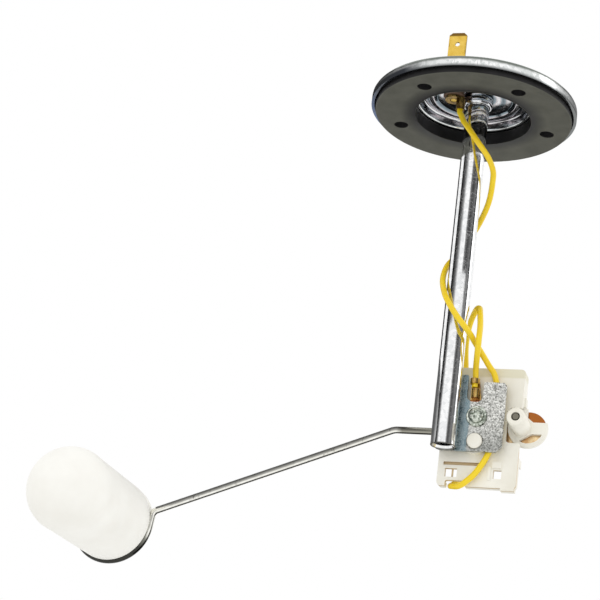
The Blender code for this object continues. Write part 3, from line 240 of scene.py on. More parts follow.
def relief(tree, shader, height, depth):
    """Bump from a height, with its depth in millimetres."""
    bump = add(tree, "ShaderNodeBump", in_Strength=1.0, in_Distance=depth * MM)
    wire(tree, (height, bump.inputs["Height"]), (bump.outputs[0], shader.inputs["Normal"]))


def uneven(tree, shader, pattern, low, high, least, most):
    """Lets the roughness follow a pattern: the range low to high becomes least to most."""
    tree.links.new(remap(tree, pattern, low, high, least, most), shader.inputs["Roughness"])


# %% [markdown]
# ## Masks
# Finishes change from place to place: a painted reflection beside the stem, a
# greyer underside, an edge that was never polished, and painted shade in
# corners and along the rims. Painting such places by hand needs a flattened
# surface. Masks worked out from the object's own coordinates need none, and
# they are given here in millimetres, as on a drawing.

# %% Masks
def both_of(tree, first, second):
    """A mask that is 1 where two masks are: their product."""
    node = add(tree, "ShaderNodeMath", operation="MULTIPLY")
    wire(tree, (first, node.inputs[0]), (second, node.inputs[1]))
    return node.outputs[0]


def band(tree, place, axis, low, high, soft):
    """A mask that is 1 between two coordinates along X, Y or Z, with soft edges."""
    split = tree.nodes.new("ShaderNodeSeparateXYZ")
    tree.links.new(place, split.inputs[0])
    along = split.outputs[axis]
    rise = remap(tree, along, (low - soft) * MM, (low + soft) * MM, 0.0, 1.0)
    fall = remap(tree, along, (high - soft) * MM, (high + soft) * MM, 1.0, 0.0)
    return both_of(tree, rise, fall)


def radial(tree, place, none_at, full_at):
    """A mask that goes from 0 at one distance from the Z axis to 1 at another."""
    flat = add(tree, "ShaderNodeVectorMath", operation="MULTIPLY", in_1=(1.0, 1.0, 0.0))
    length = add(tree, "ShaderNodeVectorMath", operation="LENGTH")
    wire(tree, (place, flat.inputs[0]), (flat.outputs[0], length.inputs[0]))
    return remap(tree, length.outputs["Value"], none_at * MM, full_at * MM, 0.0, 1.0)


def wavy(tree, place, size, amount):
    """The same place, pushed about by noise, so that a band's edge is irregular."""
    noise = add(tree, "ShaderNodeTexNoise", in_Scale=size, in_Detail=4.0)
    push = add(tree, "ShaderNodeVectorMath", operation="MULTIPLY_ADD", in_1=(amount * MM,) * 3)
    wire(tree, (place, noise.inputs["Vector"]), (noise.outputs["Color"], push.inputs[0]),
         (place, push.inputs[2]))
    return push.outputs[0]


def reopened(finish):
    """The tree of a finish that is already made, its object coordinates and its colour so far."""
    tree = finish.node_tree
    place = next(node for node in tree.nodes if node.type == "TEX_COORD").outputs["Object"]
    return tree, place, tree.nodes["Principled BSDF"].inputs["Base Color"].links[0].from_socket


def tint(tree, mask, colour):
    """Lays a colour, a tuple or a socket, over the finish where a mask is 1."""
    base = tree.nodes["Principled BSDF"].inputs["Base Color"]
    tree.links.new(mix(tree, mask, base.links[0].from_socket, colour), base)


def patched(finish, axis, low, high, soft, colour):
    """Recolours a finish between two coordinates."""
    tree, place, _ = reopened(finish)
    tint(tree, band(tree, place, axis, low, high, soft), colour)


# %% [markdown]
# ## Bright zinc
# The cover, stem, collar, screw and bracket are plated steel. A plain mirror
# would look new and unreal, so the crystals vary its colour and roughness, and
# worn lines darken it. The stem's mouth is a cut edge without a shine.

# %% Zinc
ZINC_SCUFF = 0.75


def zinc(name, dark, bright, roughness, cells, contrast):
    """Zinc plate: crystals vary the colour between two greys and the roughness round a mean."""
    material, tree, shader, place = start_finish(name, roughness, metallic=1.0)
    grain = use(tree, crystals, place, Cells=cells)
    wear = use(tree, marks, place)
    colour = ramp(tree, grain["Shade"], [(0.5 - contrast, dark), (0.5 + contrast, bright)])
    worn = mix(tree, wear["Mask"], colour, tuple(ZINC_SCUFF * x for x in dark))
    tree.links.new(worn, shader.inputs["Base Color"])
    uneven(tree, shader, grain["Shade"], low=0.2, high=0.8, least=roughness * 0.7, most=roughness * 1.4)
    relief(tree, shader, grain["Height"], depth=0.01)
    return material


bright_zinc = zinc("bright_zinc", dark=(0.62, 0.64, 0.67), bright=(0.86, 0.87, 0.88), roughness=0.10,
                   cells=900.0, contrast=0.35)
screw_zinc = zinc("screw_zinc", dark=(0.18, 0.21, 0.165), bright=(0.80, 0.84, 0.76), roughness=0.20,
                  cells=1300.0, contrast=0.25)
stem_zinc = zinc("stem_zinc", dark=(0.78, 0.79, 0.80), bright=(1.0, 1.0, 1.0), roughness=0.06,
                 cells=900.0, contrast=0.30)
patched(stem_zinc, "Z", low=-119.0, high=-117.75, soft=0.1, colour=(0.22, 0.22, 0.21))
print("zinc:", [finish.name for finish in (bright_zinc, screw_zinc, stem_zinc)])

# %% [markdown]
# ## The bracket's zinc
# The bracket has not been polished, so its crystals are large and plain to
# see. It is darker towards the foot, and a blue band along the stem is a
# painted reflection beside the stem. Both are soft bands with wavy edges over
# the same crystals.

# %% Bracket zinc
spangled_zinc = zinc("spangled_zinc", dark=(0.22, 0.22, 0.20), bright=(1.0, 1.0, 0.96), roughness=0.34,
                     cells=2600.0, contrast=0.27)
tree, place, plain = reopened(spangled_zinc)
foot = band(tree, wavy(tree, place, size=500.0, amount=2.0), "Z", low=-125.0, high=-111.5, soft=4.0)
# Painted reflection: a blue band on the bracket beside the stem.
painted_stem_reflection = band(tree, wavy(tree, place, size=600.0, amount=1.6), "X", low=5.2, high=8.8, soft=0.3)
tint(tree, foot, mix(tree, 0.46, plain, (0.07, 0.08, 0.07)))
tint(tree, painted_stem_reflection, mix(tree, 0.76, plain, (0.19, 0.30, 0.35)))
print("zinc:", spangled_zinc.name)

# %% [markdown]
# ## The cover's zinc
# The cover's rim carries painted light and shade: a painted dark reflection
# along the top of its rim, painted shade on the lower hem and more on its
# lower left, and a painted dark blue reflection over its left end. The
# underside of the pan carries rings from blue-grey to pale. Each is a mask
# over the same plating, and the rings are a wave pattern round the axis,
# coloured by a ramp.

# %% Cover zinc
cover_zinc = zinc("cover_zinc", dark=(0.66, 0.69, 0.68), bright=(1.0, 1.0, 1.0), roughness=0.10,
                  cells=900.0, contrast=0.30)
tree, place, _ = reopened(cover_zinc)
rim = radial(tree, place, none_at=33.8, full_at=34.3)
crown = band(tree, wavy(tree, place, size=300.0, amount=0.8), "Z", low=4.9, high=9.0, soft=0.4)
hem = band(tree, place, "Z", low=0.0, high=2.7, soft=0.5)
side = band(tree, place, "Z", low=0.0, high=4.0, soft=0.5)
left = band(tree, wavy(tree, place, size=260.0, amount=2.0), "X", low=-50.0, high=-13.0, soft=4.0)
left_end = band(tree, wavy(tree, place, size=200.0, amount=4.0), "X", low=-50.0, high=-31.0, soft=2.5)
# Painted dark reflection along the top of the rim.
tint(tree, both_of(tree, crown, rim), (0.17, 0.19, 0.17))
# Painted shade on the rim's lower hem.
tint(tree, both_of(tree, hem, rim), (0.20, 0.21, 0.21))
# Painted shade, deeper, on the rim's lower left.
tint(tree, both_of(tree, both_of(tree, side, left), rim), (0.09, 0.10, 0.12))
# Painted dark blue reflection over the cover's left end.
tint(tree, left_end, (0.12, 0.17, 0.30))
# Rings of colour on the pan's underside, from blue-grey to pale.
rings = add(tree, "ShaderNodeTexWave", wave_type="RINGS", rings_direction="Z", in_Scale=95.0,
            in_Distortion=1.2)
tree.links.new(place, rings.inputs["Vector"])
pan_rings = ramp(tree, rings.outputs["Color"], [(0.0, (0.16, 0.20, 0.23)), (0.40, (0.34, 0.40, 0.44)),
                                              (0.70, (0.62, 0.56, 0.58)), (1.0, (0.80, 0.82, 0.84))])
pan = radial(tree, place, none_at=19.4, full_at=18.8)
under_side = band(tree, place, "Z", low=0.0, high=8.8, soft=0.1)
tint(tree, both_of(tree, pan, under_side), pan_rings)
print("zinc:", cover_zinc.name)

# %% [markdown]
# ## Brass, copper and the winding
# The blade, tag and lug are brass and the wiper is copper, all stamped from
# sheet. The same recipe makes them: a cloudy tone, fine lines of the press and
# a hint of relief. The blade's cut top and the lug's lower end have gone dark,
# and the copper behind the carrier gets painted shade; each is one band of
# another colour.

# %% Sheet metals
SHEET_SCUFF = 0.6


def stamped(name, dark, bright, roughness):
    """Sheet metal from the press: a cloudy tone and fine lines."""
    material, tree, shader, place = start_finish(name, roughness, metallic=1.0)
    cloudy = use(tree, skin, place, Cloud=420.0, Grain=3200.0)
    wear = use(tree, marks, place, Size=900.0, Amount=0.58)
    colour = ramp(tree, cloudy["Tone"], [(0.30, dark), (0.70, bright)])
    worn = mix(tree, wear["Mask"], colour, tuple(SHEET_SCUFF * x for x in dark))
    tree.links.new(worn, shader.inputs["Base Color"])
    uneven(tree, shader, cloudy["Height"], low=0.3, high=0.7, least=roughness * 0.8, most=roughness * 1.3)
    relief(tree, shader, cloudy["Height"], depth=0.006)
    return material


brass = stamped("blade_brass", dark=(0.72, 0.46, 0.07), bright=(0.86, 0.60, 0.13), roughness=0.26)
patched(brass, "Z", low=28.6, high=32.0, soft=0.2, colour=(0.20, 0.11, 0.02))
old_brass = stamped("crimp_brass", dark=(0.34, 0.18, 0.05), bright=(0.86, 0.62, 0.22), roughness=0.24)
patched(old_brass, "Z", low=-106.0, high=-99.7, soft=0.4, colour=(0.36, 0.15, 0.05))
tarnished_brass = stamped("tarnished_brass", dark=(0.10, 0.06, 0.02), bright=(0.50, 0.33, 0.10),
                          roughness=0.24)
copper = stamped("wiper_copper", dark=(0.62, 0.29, 0.10), bright=(1.0, 0.82, 0.52), roughness=0.20)
# Painted shade on the copper behind the carrier.
patched(copper, "Z", low=-107.6, high=-95.0, soft=0.6, colour=(0.40, 0.13, 0.03))
winding_metal = stamped("winding_metal", dark=(0.36, 0.33, 0.28), bright=(0.55, 0.52, 0.46),
                        roughness=0.35)
sheet_metals = (brass, old_brass, tarnished_brass, copper, winding_metal)
print("sheet metals:", [finish.name for finish in sheet_metals])

# %% [markdown]
# ## The arm's wire
# The arm is drawn steel wire, bright along its straight run. Its ends and the
# stretch past the bracket get painted shade: the axle's end inside the hub, the
# hook in the float's groove, the hook's underside and the run behind the
# bracket. Each could have its own material, but four bands of painted shade
# over one finish keep the wire in one piece.

# %% Arm steel
arm_steel = stamped("arm_steel", dark=(0.80, 0.79, 0.72), bright=(1.0, 0.99, 0.93), roughness=0.12)
# Painted shade: the wire darkened where it lies in the hub, in the groove, under the hook and behind the
# bracket.
PAINTED_SHADE_STRETCHES = {
    "axle's front end": ("Y", -10.0, -0.4, 0.2, (0.20, 0.19, 0.15)),
    "hook": ("X", -140.0, -103.2, 0.4, (0.30, 0.30, 0.26)),
    "hook's underside": ("Z", -170.0, -151.5, 2.0, (0.05, 0.05, 0.045)),
    "run past the bracket": ("X", -18.5, 22.5, 1.0, (0.33, 0.32, 0.27)),
}
for stretch in PAINTED_SHADE_STRETCHES.values():
    patched(arm_steel, *stretch)
print("painted shade on the arm:", list(PAINTED_SHADE_STRETCHES))


# %% [markdown]
# ## Nylon, polyethylene, phenolic and the lead's sleeve
# All the plastics share one recipe, a slow tone over a fine grain. Natural
# nylon is a warm off-white, with painted shade, darker and yellower, at the
# tray's top and painted shade, browner, on the floor of the groove. The float
# is a milky moulding, whiter and softer, the insulators are brown, and the
# lead has a glossy yellow sleeve.

# %% Plastics
def moulded(name, dark, bright, roughness, depth, grain=2600.0, **constants):
    """A moulded skin: slow tone between two colours over a fine grain of the given depth."""
    material, tree, shader, place = start_finish(name, roughness, **constants)
    moulding = use(tree, skin, place, Grain=grain)
    colour = ramp(tree, moulding["Tone"], [(0.35, dark), (0.65, bright)])
    tree.links.new(colour, shader.inputs["Base Color"])
    uneven(tree, shader, moulding["Height"], low=0.3, high=0.7, least=roughness * 0.85,
           most=roughness * 1.15)
    relief(tree, shader, moulding["Height"], depth)
    return material


nylon = moulded("natural_nylon", dark=(0.80, 0.77, 0.67), bright=(0.88, 0.86, 0.78), roughness=0.42,
                depth=0.01)
# Painted shade, darker and yellower, along the tray's top.
patched(nylon, "Z", low=-91.3, high=-87.0, soft=0.4, colour=(0.74, 0.71, 0.56))
tree, place, _ = reopened(nylon)
groove_depth = band(tree, place, "Y", low=8.7, high=9.6, soft=0.2)
groove_height = band(tree, place, "Z", low=-130.0, high=-116.0, soft=0.6)
# Painted shade, brown, on the floor of the recessed groove.
tint(tree, both_of(tree, groove_depth, groove_height), (0.60, 0.46, 0.27))
float_milk = moulded("float_milk", dark=(0.885, 0.87, 0.82), bright=(0.92, 0.91, 0.865), roughness=0.50,
                     depth=0.008, grain=1500.0, Specular_IOR_Level=0.25)
phenolic = moulded("brown_phenolic", dark=(0.10, 0.055, 0.03), bright=(0.17, 0.10, 0.06), roughness=0.45,
                   depth=0.01)
sleeve = moulded("yellow_sleeve", dark=(0.84, 0.58, 0.006), bright=(0.90, 0.66, 0.012), roughness=0.33,
                 depth=0.006)
print("plastics:", [finish.name for finish in (nylon, float_milk, phenolic, sleeve)])

# %% [markdown]
# ## Black rubber
# The gasket is dull black rubber, and its underside is greyer and rougher.
# Two materials would need a seam between the faces. One material with a
# mask at the height of the underside changes both colour and roughness.

# %% Rubber
WALL_ROUGHNESS, UNDERSIDE_ROUGHNESS = 0.36, 0.72
rubber = moulded("gasket_rubber", dark=(0.010, 0.010, 0.010), bright=(0.020, 0.019, 0.020),
                 roughness=WALL_ROUGHNESS, depth=0.02, grain=3000.0, Specular_IOR_Level=0.15)
tree, place, _ = reopened(rubber)
underside = band(tree, place, "Z", low=-1.0, high=0.4, soft=0.1)
underside_tone = use(tree, skin, place, Cloud=140.0, Grain=1500.0)
underside_grey = ramp(tree, underside_tone["Tone"], [(0.30, (0.080, 0.080, 0.066)), (0.70, (0.104, 0.104, 0.086))])
tint(tree, underside, underside_grey)
uneven(tree, tree.nodes["Principled BSDF"], underside, low=0.0, high=1.0,
       least=WALL_ROUGHNESS, most=UNDERSIDE_ROUGHNESS)
print("finishes:", len(bpy.data.materials))

# %% [markdown]
# ## Dressing a piece
# Each finished piece stands for one CAD node and moves with that node's body,
# and it takes its finish, so one helper does all three.

# %% Dress helper
record = frame["record"]
body_of_node = {node: body for body, nodes in record["behaviour"]["bodies"].items() for node in nodes}


def dress(piece, node, material):
    """Gives a finished piece its material and lets it stand for a node."""
    piece.data.materials.clear()
    piece.data.materials.append(material)
    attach(piece, body_of_node[node])
    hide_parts(node)
    faces = len(piece.data.polygons) if piece.type == "MESH" else 0
    print("dressed", node, "with", faces, "faces")


# %% [markdown]
# ## The signal lead
# One thin insulated wire runs from the cover's tag, once round the stem, down
# behind the bracket, under the housing, up its back and over to the lug. A
# smooth curve through the points of its route keeps it from looking bent, and
# a short straight end enters each crimp. The points are in millimetres.

# %% The lead's route
LEAD_DIAMETER = 2.0 * MM
LEAD_FRONT = 7.125
LEAD_BACK = 16.25
INTO_TAG, INTO_LUG = 2.5 * MM, 3.85 * MM
lead_route = np.array([
    (-3.7, -5.0, 0.35), (-2.7, -5.3, -1.5), (-1.8, -5.8, -3.5), (0.6, -6.9, -6.9),
    (4.1, -7.3, -12.0), (7.6, -5.0, -16.5), (9.1, -1.6, -19.8), (8.9, 1.4, -22.5), (7.4, 5.0, -29.3),
    (4.3, 7.2, -36.4), (0.6, 7.6, -43.3), (-2.6, 6.4, -49.2), (-4.5, 3.6, -54.0), (-4.6, 0.2, -59.9),
    (-2.7, -3.7, -66.0), (-0.5, -5.4, -70.3), (2.6, -6.1, -74.9), (5.4, -5.1, -78.2), (7.2, -1.9, -80.2),
    (8.3, 1.6, -81.8), (10.3, 4.7, -84.6), (12.6, 6.9, -88.0), (14.8, LEAD_FRONT, -91.3),
    (16.2, LEAD_FRONT, -98.0), (16.5, LEAD_FRONT, -107.0), (15.9, LEAD_FRONT, -114.4), (14.6, 7.1, -118.8),
    (13.1, 6.7, -122.1), (11.0, 6.5, -125.4), (8.2, 6.7, -128.1), (6.4, 7.5, -129.0), (4.8, 8.9, -128.9),
    (3.1, 10.6, -128.4), (2.4, 12.4, -127.9), (2.7, 14.2, -127.0), (3.8, 15.7, -125.2), (4.8, 16.4, -122.4),
    (4.3, LEAD_BACK, -117.5), (3.5, LEAD_BACK, -106.0), (3.2, LEAD_BACK, -94.0), (2.7, 16.0, -86.0),
    (2.4, 14.2, -78.6), (3.5, 11.8, -71.9), (5.9, 8.8, -67.6), (7.7, 5.8, -68.1), (8.7, 2.9, -70.8),
    (9.8, 0.0, -76.3), (10.1, -1.4, -81.6), (9.6, 0.6, -85.8), (8.8, 4.23, -89.6), (8.7, 5.63, -92.2),
]) * MM


def flowing(points, steps):
    """Catmull-Rom: between two points the line is a cubic whose ends point along the neighbours' chord."""
    ends = np.vstack([2 * points[0] - points[1], points, 2 * points[-1] - points[-2]])
    before, start, end, after = ends[:-3], ends[1:-2], ends[2:-1], ends[3:]
    t = np.linspace(0, 1, steps, endpoint=False)[:, None, None]
    curve = 0.5 * (2 * start + (end - before) * t + (2 * before - 5 * start + 4 * end - after) * t ** 2
                   + (3 * start - before - 3 * end + after) * t ** 3)
    return np.vstack([curve.transpose(1, 0, 2).reshape(-1, 3), points[-1:]])


in_tag = lead_route[:1] + (0, 0, INTO_TAG)
in_lug = lead_route[-1:] - (0, 0, INTO_LUG)
lead_line = np.vstack([in_tag, flowing(lead_route, steps=5), in_lug])

# %% [markdown]
# ## The lead's body
# A wire is round all along, so a Blender curve with a round bevel is enough. It
# stays a curve, so that its route and thickness can still be changed.

# %% The lead's body
lead_curve = bpy.data.curves.new("yellow_lead", "CURVE")
lead_curve.dimensions = "3D"
lead_curve.bevel_depth = LEAD_DIAMETER / 2
lead_curve.bevel_resolution = 5
lead_curve.use_fill_caps = True
spline = lead_curve.splines.new("POLY")
spline.points.add(len(lead_line) - 1)
spline.points.foreach_set("co", np.hstack([lead_line, np.ones((len(lead_line), 1))]).ravel())
yellow_lead = bpy.data.objects.new("yellow_lead", lead_curve)
bpy.context.scene.collection.objects.link(yellow_lead)
dress(yellow_lead, "signal_lead", sleeve)


# %% [markdown]
# ## Surfaces from two parameters
# Round pieces are profiles turned about an axis, and the arm is a circle that
# is carried along a path. Both are grids of points, so one helper makes the
# mesh: it joins neighbours with quads, closes the poles and turns the faces out.

# %% Surface helpers
CREASE = 35.0
SAME_POINT = 1e-7


def smooth(mesh, sharp=CREASE):
    """Shades a mesh smooth but keeps edges sharper than an angle, in degrees."""
    mesh.shade_smooth()
    mesh.set_sharp_from_angle(angle=math.radians(sharp))


def linked(name, mesh, sharp=CREASE):
    """Shades a mesh and links an object that holds it."""
    smooth(mesh, sharp)
    piece = bpy.data.objects.new(name, mesh)
    bpy.context.scene.collection.objects.link(piece)
    return piece


def surface(name, points, wrap_rows=False):
    """Quads between the neighbours of a (rows, columns, 3) grid of points; each row closes on itself."""
    rows, columns = points.shape[:2]
    index = np.arange(rows * columns).reshape(rows, columns)
    if wrap_rows:
        index = np.vstack([index, index[:1]])
    index = np.hstack([index, index[:, :1]])
    quads = np.stack([index[:-1, :-1], index[:-1, 1:], index[1:, 1:], index[1:, :-1]], axis=-1)
    mesh = bpy.data.meshes.new(name)
    mesh.from_pydata(points.reshape(-1, 3).tolist(), [], quads.reshape(-1, 4).tolist())
    bm = bmesh.new()
    bm.from_mesh(mesh)
    bmesh.ops.remove_doubles(bm, verts=bm.verts, dist=SAME_POINT)
    bmesh.ops.recalc_face_normals(bm, faces=bm.faces)
    bm.to_mesh(mesh)
    bm.free()
    return linked(name, mesh)


# %% [markdown]
# ## Rounded corners
# Pressed, moulded and bent parts have a radius at every corner. A profile could
# list the points of each arc. It is shorter and easier to change when it lists
# only corners with their radii, and a helper puts in the arcs.

# %% Rounded corners
def corner_arc(before, corner, after, radius, steps):
    """Arc: middle + cos a (start - middle) - sin a radius (direction back), with a from 0 to the bend."""
    back = (before - corner) / np.linalg.norm(before - corner)
    ahead = (after - corner) / np.linalg.norm(after - corner)
    half = math.acos(back @ ahead) / 2
    middle = corner + (back + ahead) / np.linalg.norm(back + ahead) * radius / math.sin(half)
    start = corner + back * radius / math.tan(half) - middle
    angle = np.linspace(0, math.pi - 2 * half, steps + 1)[:, None]
    return middle + np.cos(angle) * start - np.sin(angle) * radius * back


def rounded(corners, steps=6, closed=True):
    """A line through corners (coordinates, radius last), each replaced by an arc that touches both sides."""
    places = np.array([corner[:-1] for corner in corners], float)
    line = []
    for index, corner in enumerate(corners):
        at_end = not closed and index in (0, len(corners) - 1)
        if at_end or corner[-1] == 0:
            line.append(places[index:index + 1])
        else:
            following = places[(index + 1) % len(corners)]
            line.append(corner_arc(places[index - 1], places[index], following, corner[-1], steps))
    return np.vstack(line)


# %% [markdown]
# ## Turning and piercing
# A lathe helper carries a profile round an axis, as whole arrays. Bolt holes go
# through several curved faces, which a Boolean cut handles best, and a real
# pressing is pierced in the same way, after it has been formed.

# %% Turning and piercing
def turned(name, profile, centre=(0, 0, 0), along="Z", around=96):
    """Revolve: (radius cos a, radius sin a, height), with a once round, for each point of a profile."""
    angle = np.linspace(0, math.tau, around, endpoint=False)
    radius, height = np.asarray(profile, float).T[:, :, None] * MM
    rings = (radius * np.cos(angle), radius * np.sin(angle), height + 0 * angle)
    if along == "Y":
        rings = (rings[0], rings[2], rings[1])
    return surface(name, np.stack(rings, axis=-1) + np.array(centre) * MM, wrap_rows=True)


def bake(piece):
    """Applies the modifiers of a piece to its mesh."""
    graph = bpy.context.evaluated_depsgraph_get()
    old = piece.data
    piece.data = bpy.data.meshes.new_from_object(piece.evaluated_get(graph))
    piece.modifiers.clear()
    bpy.data.meshes.remove(old)


def pierced(piece, holes, low, high):
    """Cuts round holes (x, y, radius) along Z through a piece, in millimetres."""
    tools = [turned("hole_tool", [(0, low), (radius, low), (radius, high), (0, high)], (x, y, 0), around=40)
             for x, y, radius in holes]
    for tool in tools:
        cut = piece.modifiers.new("hole", "BOOLEAN")
        cut.operation = "DIFFERENCE"
        cut.solver = "EXACT"
        cut.object = tool
    bake(piece)
    for tool in tools:
        bpy.data.objects.remove(tool, do_unlink=True)
    smooth(piece.data)
    return piece


# %% [markdown]
# ## The gasket
# The gasket is a thick rubber ring with the five bolt holes of the tank. Its
# underside rises half a millimetre towards the hole, and a thin lip hangs from
# that edge: there the corner's arc is turned upwards.

# %% Gasket
BOLT_CIRCLE, FIRST_BOLT, BOLT_HOLE, BOLTS = 54.0, 27.4, 2.5, 5
GASKET_HOLE, GASKET_RADIUS, GASKET_THICKNESS = 20.2, 34.2, 5.0
LIP_RADIUS, LIP_STEPS = 0.25, 6
bolt_angle = np.radians(FIRST_BOLT + 360.0 / BOLTS * np.arange(BOLTS))
bolt_holes = [(BOLT_CIRCLE / 2 * math.cos(a), BOLT_CIRCLE / 2 * math.sin(a), BOLT_HOLE) for a in bolt_angle]
gasket_profile = rounded([(GASKET_HOLE, 0, LIP_RADIUS), (GASKET_RADIUS, 0, 0.6),
                          (GASKET_RADIUS, GASKET_THICKNESS, 0.6), (GASKET_HOLE, GASKET_THICKNESS, 0.25)],
                         steps=LIP_STEPS)
lip_height = gasket_profile[:LIP_STEPS + 1, 1]
gasket_profile[:LIP_STEPS + 1, 1] = 2 * LIP_RADIUS - lip_height
gasket_ring = pierced(turned("gasket_ring", gasket_profile, around=160), bolt_holes, low=-1, high=6)
dress(gasket_ring, "gasket", rubber)

# %% [markdown]
# ## The cover
# The cover is one pressing: a raised pan with a stiffening bead, a flat flange
# and a rim turned down round the gasket. The sheet's two faces are written as
# two profiles, one millimetre apart, because their radii differ. The stem and
# the terminal go through holes of their own.

# %% Cover
SHEET = 1.0
PAN, BEAD, FLANGE, RIM_END = 8.25, 7.35, 5.25, 2.05
COVER_RADIUS = 35.75
STEM = (1.2, 0.5, 0)
STEM_HOLE = (1.2, 0.5, 4.35)
TERMINAL_HOLE = (-6.3, -5.0, 2.45)
under = rounded([(0, PAN, 0), (13.33, PAN, 0.6), (14.3, BEAD, 0.6), (15.9, BEAD, 0.6), (16.9, PAN, 0.6),
                 (18.5, PAN, 0.9), (19.2, FLANGE, 0.8), (COVER_RADIUS - SHEET, FLANGE, 0.8),
                 (COVER_RADIUS - SHEET, RIM_END, 0)], steps=5, closed=False)
over = rounded([(0, PAN + SHEET, 0), (12.95, PAN + SHEET, 1.0), (13.9, BEAD + SHEET, 0.8),
                (16.3, BEAD + SHEET, 0.8), (17.3, PAN + SHEET, 0.5), (18.9, PAN + SHEET, 0.9),
                (19.9, FLANGE + SHEET, 0.8), (COVER_RADIUS, FLANGE + SHEET, 1.8),
                (COVER_RADIUS, RIM_END, 0)], steps=5, closed=False)
cover = turned("cover_pressing", np.vstack([under, over[::-1]]), around=176)
cover = pierced(cover, bolt_holes + [STEM_HOLE, TERMINAL_HOLE], low=1.0, high=11.0)
dress(cover, "cover_plate", cover_zinc)

# %% [markdown]
# ## Stem and collar
# The stem is a drawn tube with a staked head above the cover and an open mouth
# below. A smooth-shaded face as long as the stem would lean at its rounded
# ends, so a ring of points close to each end keeps the shading straight. The
# bright collar under the cover is a short flared ferrule.

# %% Stem and collar
STEM_RADIUS, STEM_BORE, STEM_TOP, STEM_END = 4.1, 3.2, 9.5, -118.0
HEAD_RADIUS, HEAD_TOP = 5.3, 10.4
SHADING_RING = 0.3
stem_profile = rounded([(0, HEAD_TOP, 0), (HEAD_RADIUS, HEAD_TOP, 0.35), (HEAD_RADIUS, STEM_TOP, 0.1),
                        (STEM_RADIUS, STEM_TOP, 0.1), (STEM_RADIUS, STEM_TOP - SHADING_RING, 0),
                        (STEM_RADIUS, STEM_END + SHADING_RING, 0), (STEM_RADIUS, STEM_END, 0.15),
                        (3.75, STEM_END, 0.1), (STEM_BORE, STEM_END + 1.0, 0.2), (STEM_BORE, 9.0, 0),
                        (0, 9.0, 0)], steps=4)
dress(turned("stem", stem_profile, STEM), "stem_tube", stem_zinc)
collar_profile = rounded([(4.35, 4.7, 0.1), (4.75, 4.7, 0.2), (5.2, 5.4, 0.3), (4.9, 6.2, 0.3),
                          (5.2, 7.0, 0.3), (5.2, 8.0, 0.2), (4.35, 8.0, 0.1)], steps=4)
dress(turned("ferrule", collar_profile, STEM, around=72), "stem_collar", bright_zinc)

# %% [markdown]
# ## The float
# The float is a blow-moulded capsule. One end is a dome, and the other is flat
# with a groove before it for the arm's hook. A sphere and a cylinder could be
# joined, but one turned profile has no seam. Its axis lies along Y.

# %% Float
FLOAT_RADIUS, BODY_RADIUS, GROOVE_RADIUS, END_RADIUS = 14.3, 14.05, 12.4, 13.8
DOME_START, GROOVE_START, GROOVE_END, FLOAT_END = -19.8, 17.7, 20.5, 22.3
DOME_FLATTENING = 0.94
dome = np.linspace(0, math.pi / 2, 28)
dome_profile = np.column_stack([FLOAT_RADIUS * np.sin(dome),
                                DOME_START - FLOAT_RADIUS * DOME_FLATTENING * np.cos(dome)])
end_profile = rounded([(14.2, DOME_START + 4, 0), (BODY_RADIUS, GROOVE_START, 0.3),
                       (GROOVE_RADIUS, GROOVE_START + 0.2, 0.3), (GROOVE_RADIUS, GROOVE_END, 0.3),
                       (END_RADIUS, GROOVE_END + 0.2, 0.4), (END_RADIUS, FLOAT_END, 0.7),
                       (0, FLOAT_END, 0)], steps=5, closed=False)
float_centre = np.array([-116.80, 0, -144.70])
capsule = turned("milky_float", np.vstack([dome_profile, end_profile]), float_centre, along="Y", around=128)
dress(capsule, "float", float_milk)


# %% [markdown]
# ## A swept wire
# A bent wire is a circle carried along a path. The circle must not twist on
# the way, or its quads would wring, so its two directions are handed on from
# station to station, each time made square to the path again. A smaller ring
# and a point close each end with a small chamfer.

# %% Swept wire
def swept(name, path, radius, around=24):
    """Tube: path + radius (cos v normal + sin v binormal), with the frame carried on without twist."""
    tangent = np.gradient(path, axis=0)
    tangent /= np.linalg.norm(tangent, axis=1)[:, None]
    normal = np.empty_like(path)
    any_side = (0.31, 0.17, 0.93)
    side = np.cross(tangent[0], any_side)
    for station in range(len(path)):
        side = side - (side @ tangent[station]) * tangent[station]
        side = side / np.linalg.norm(side)
        normal[station] = side
    stations = np.pad(np.arange(len(path)), 2, mode="edge")
    normal, path = normal[stations], path[stations]
    binormal = np.cross(tangent[stations], normal)
    chamfer, setback = 0.85, 0.06
    size = np.full(len(path), radius)
    size[[0, -1]] = 0
    size[[1, -2]] = chamfer * radius
    path[2] += (path[3] - path[2]) * setback
    path[-3] += (path[-4] - path[-3]) * setback
    angle = np.linspace(0, math.tau, around, endpoint=False)[None, :, None]
    ring = np.cos(angle) * normal[:, None] + np.sin(angle) * binormal[:, None]
    return surface(name, (path[:, None] + size[:, None, None] * ring) * MM)


# %% [markdown]
# ## The arm
# One steel wire does three jobs. It starts as the rotor's axle, turns a corner,
# runs out behind the bracket, kinks down, and hooks three quarters of the way
# round the float's groove. The bends are rounded corners, and the hook is an
# arc round the float's axis.

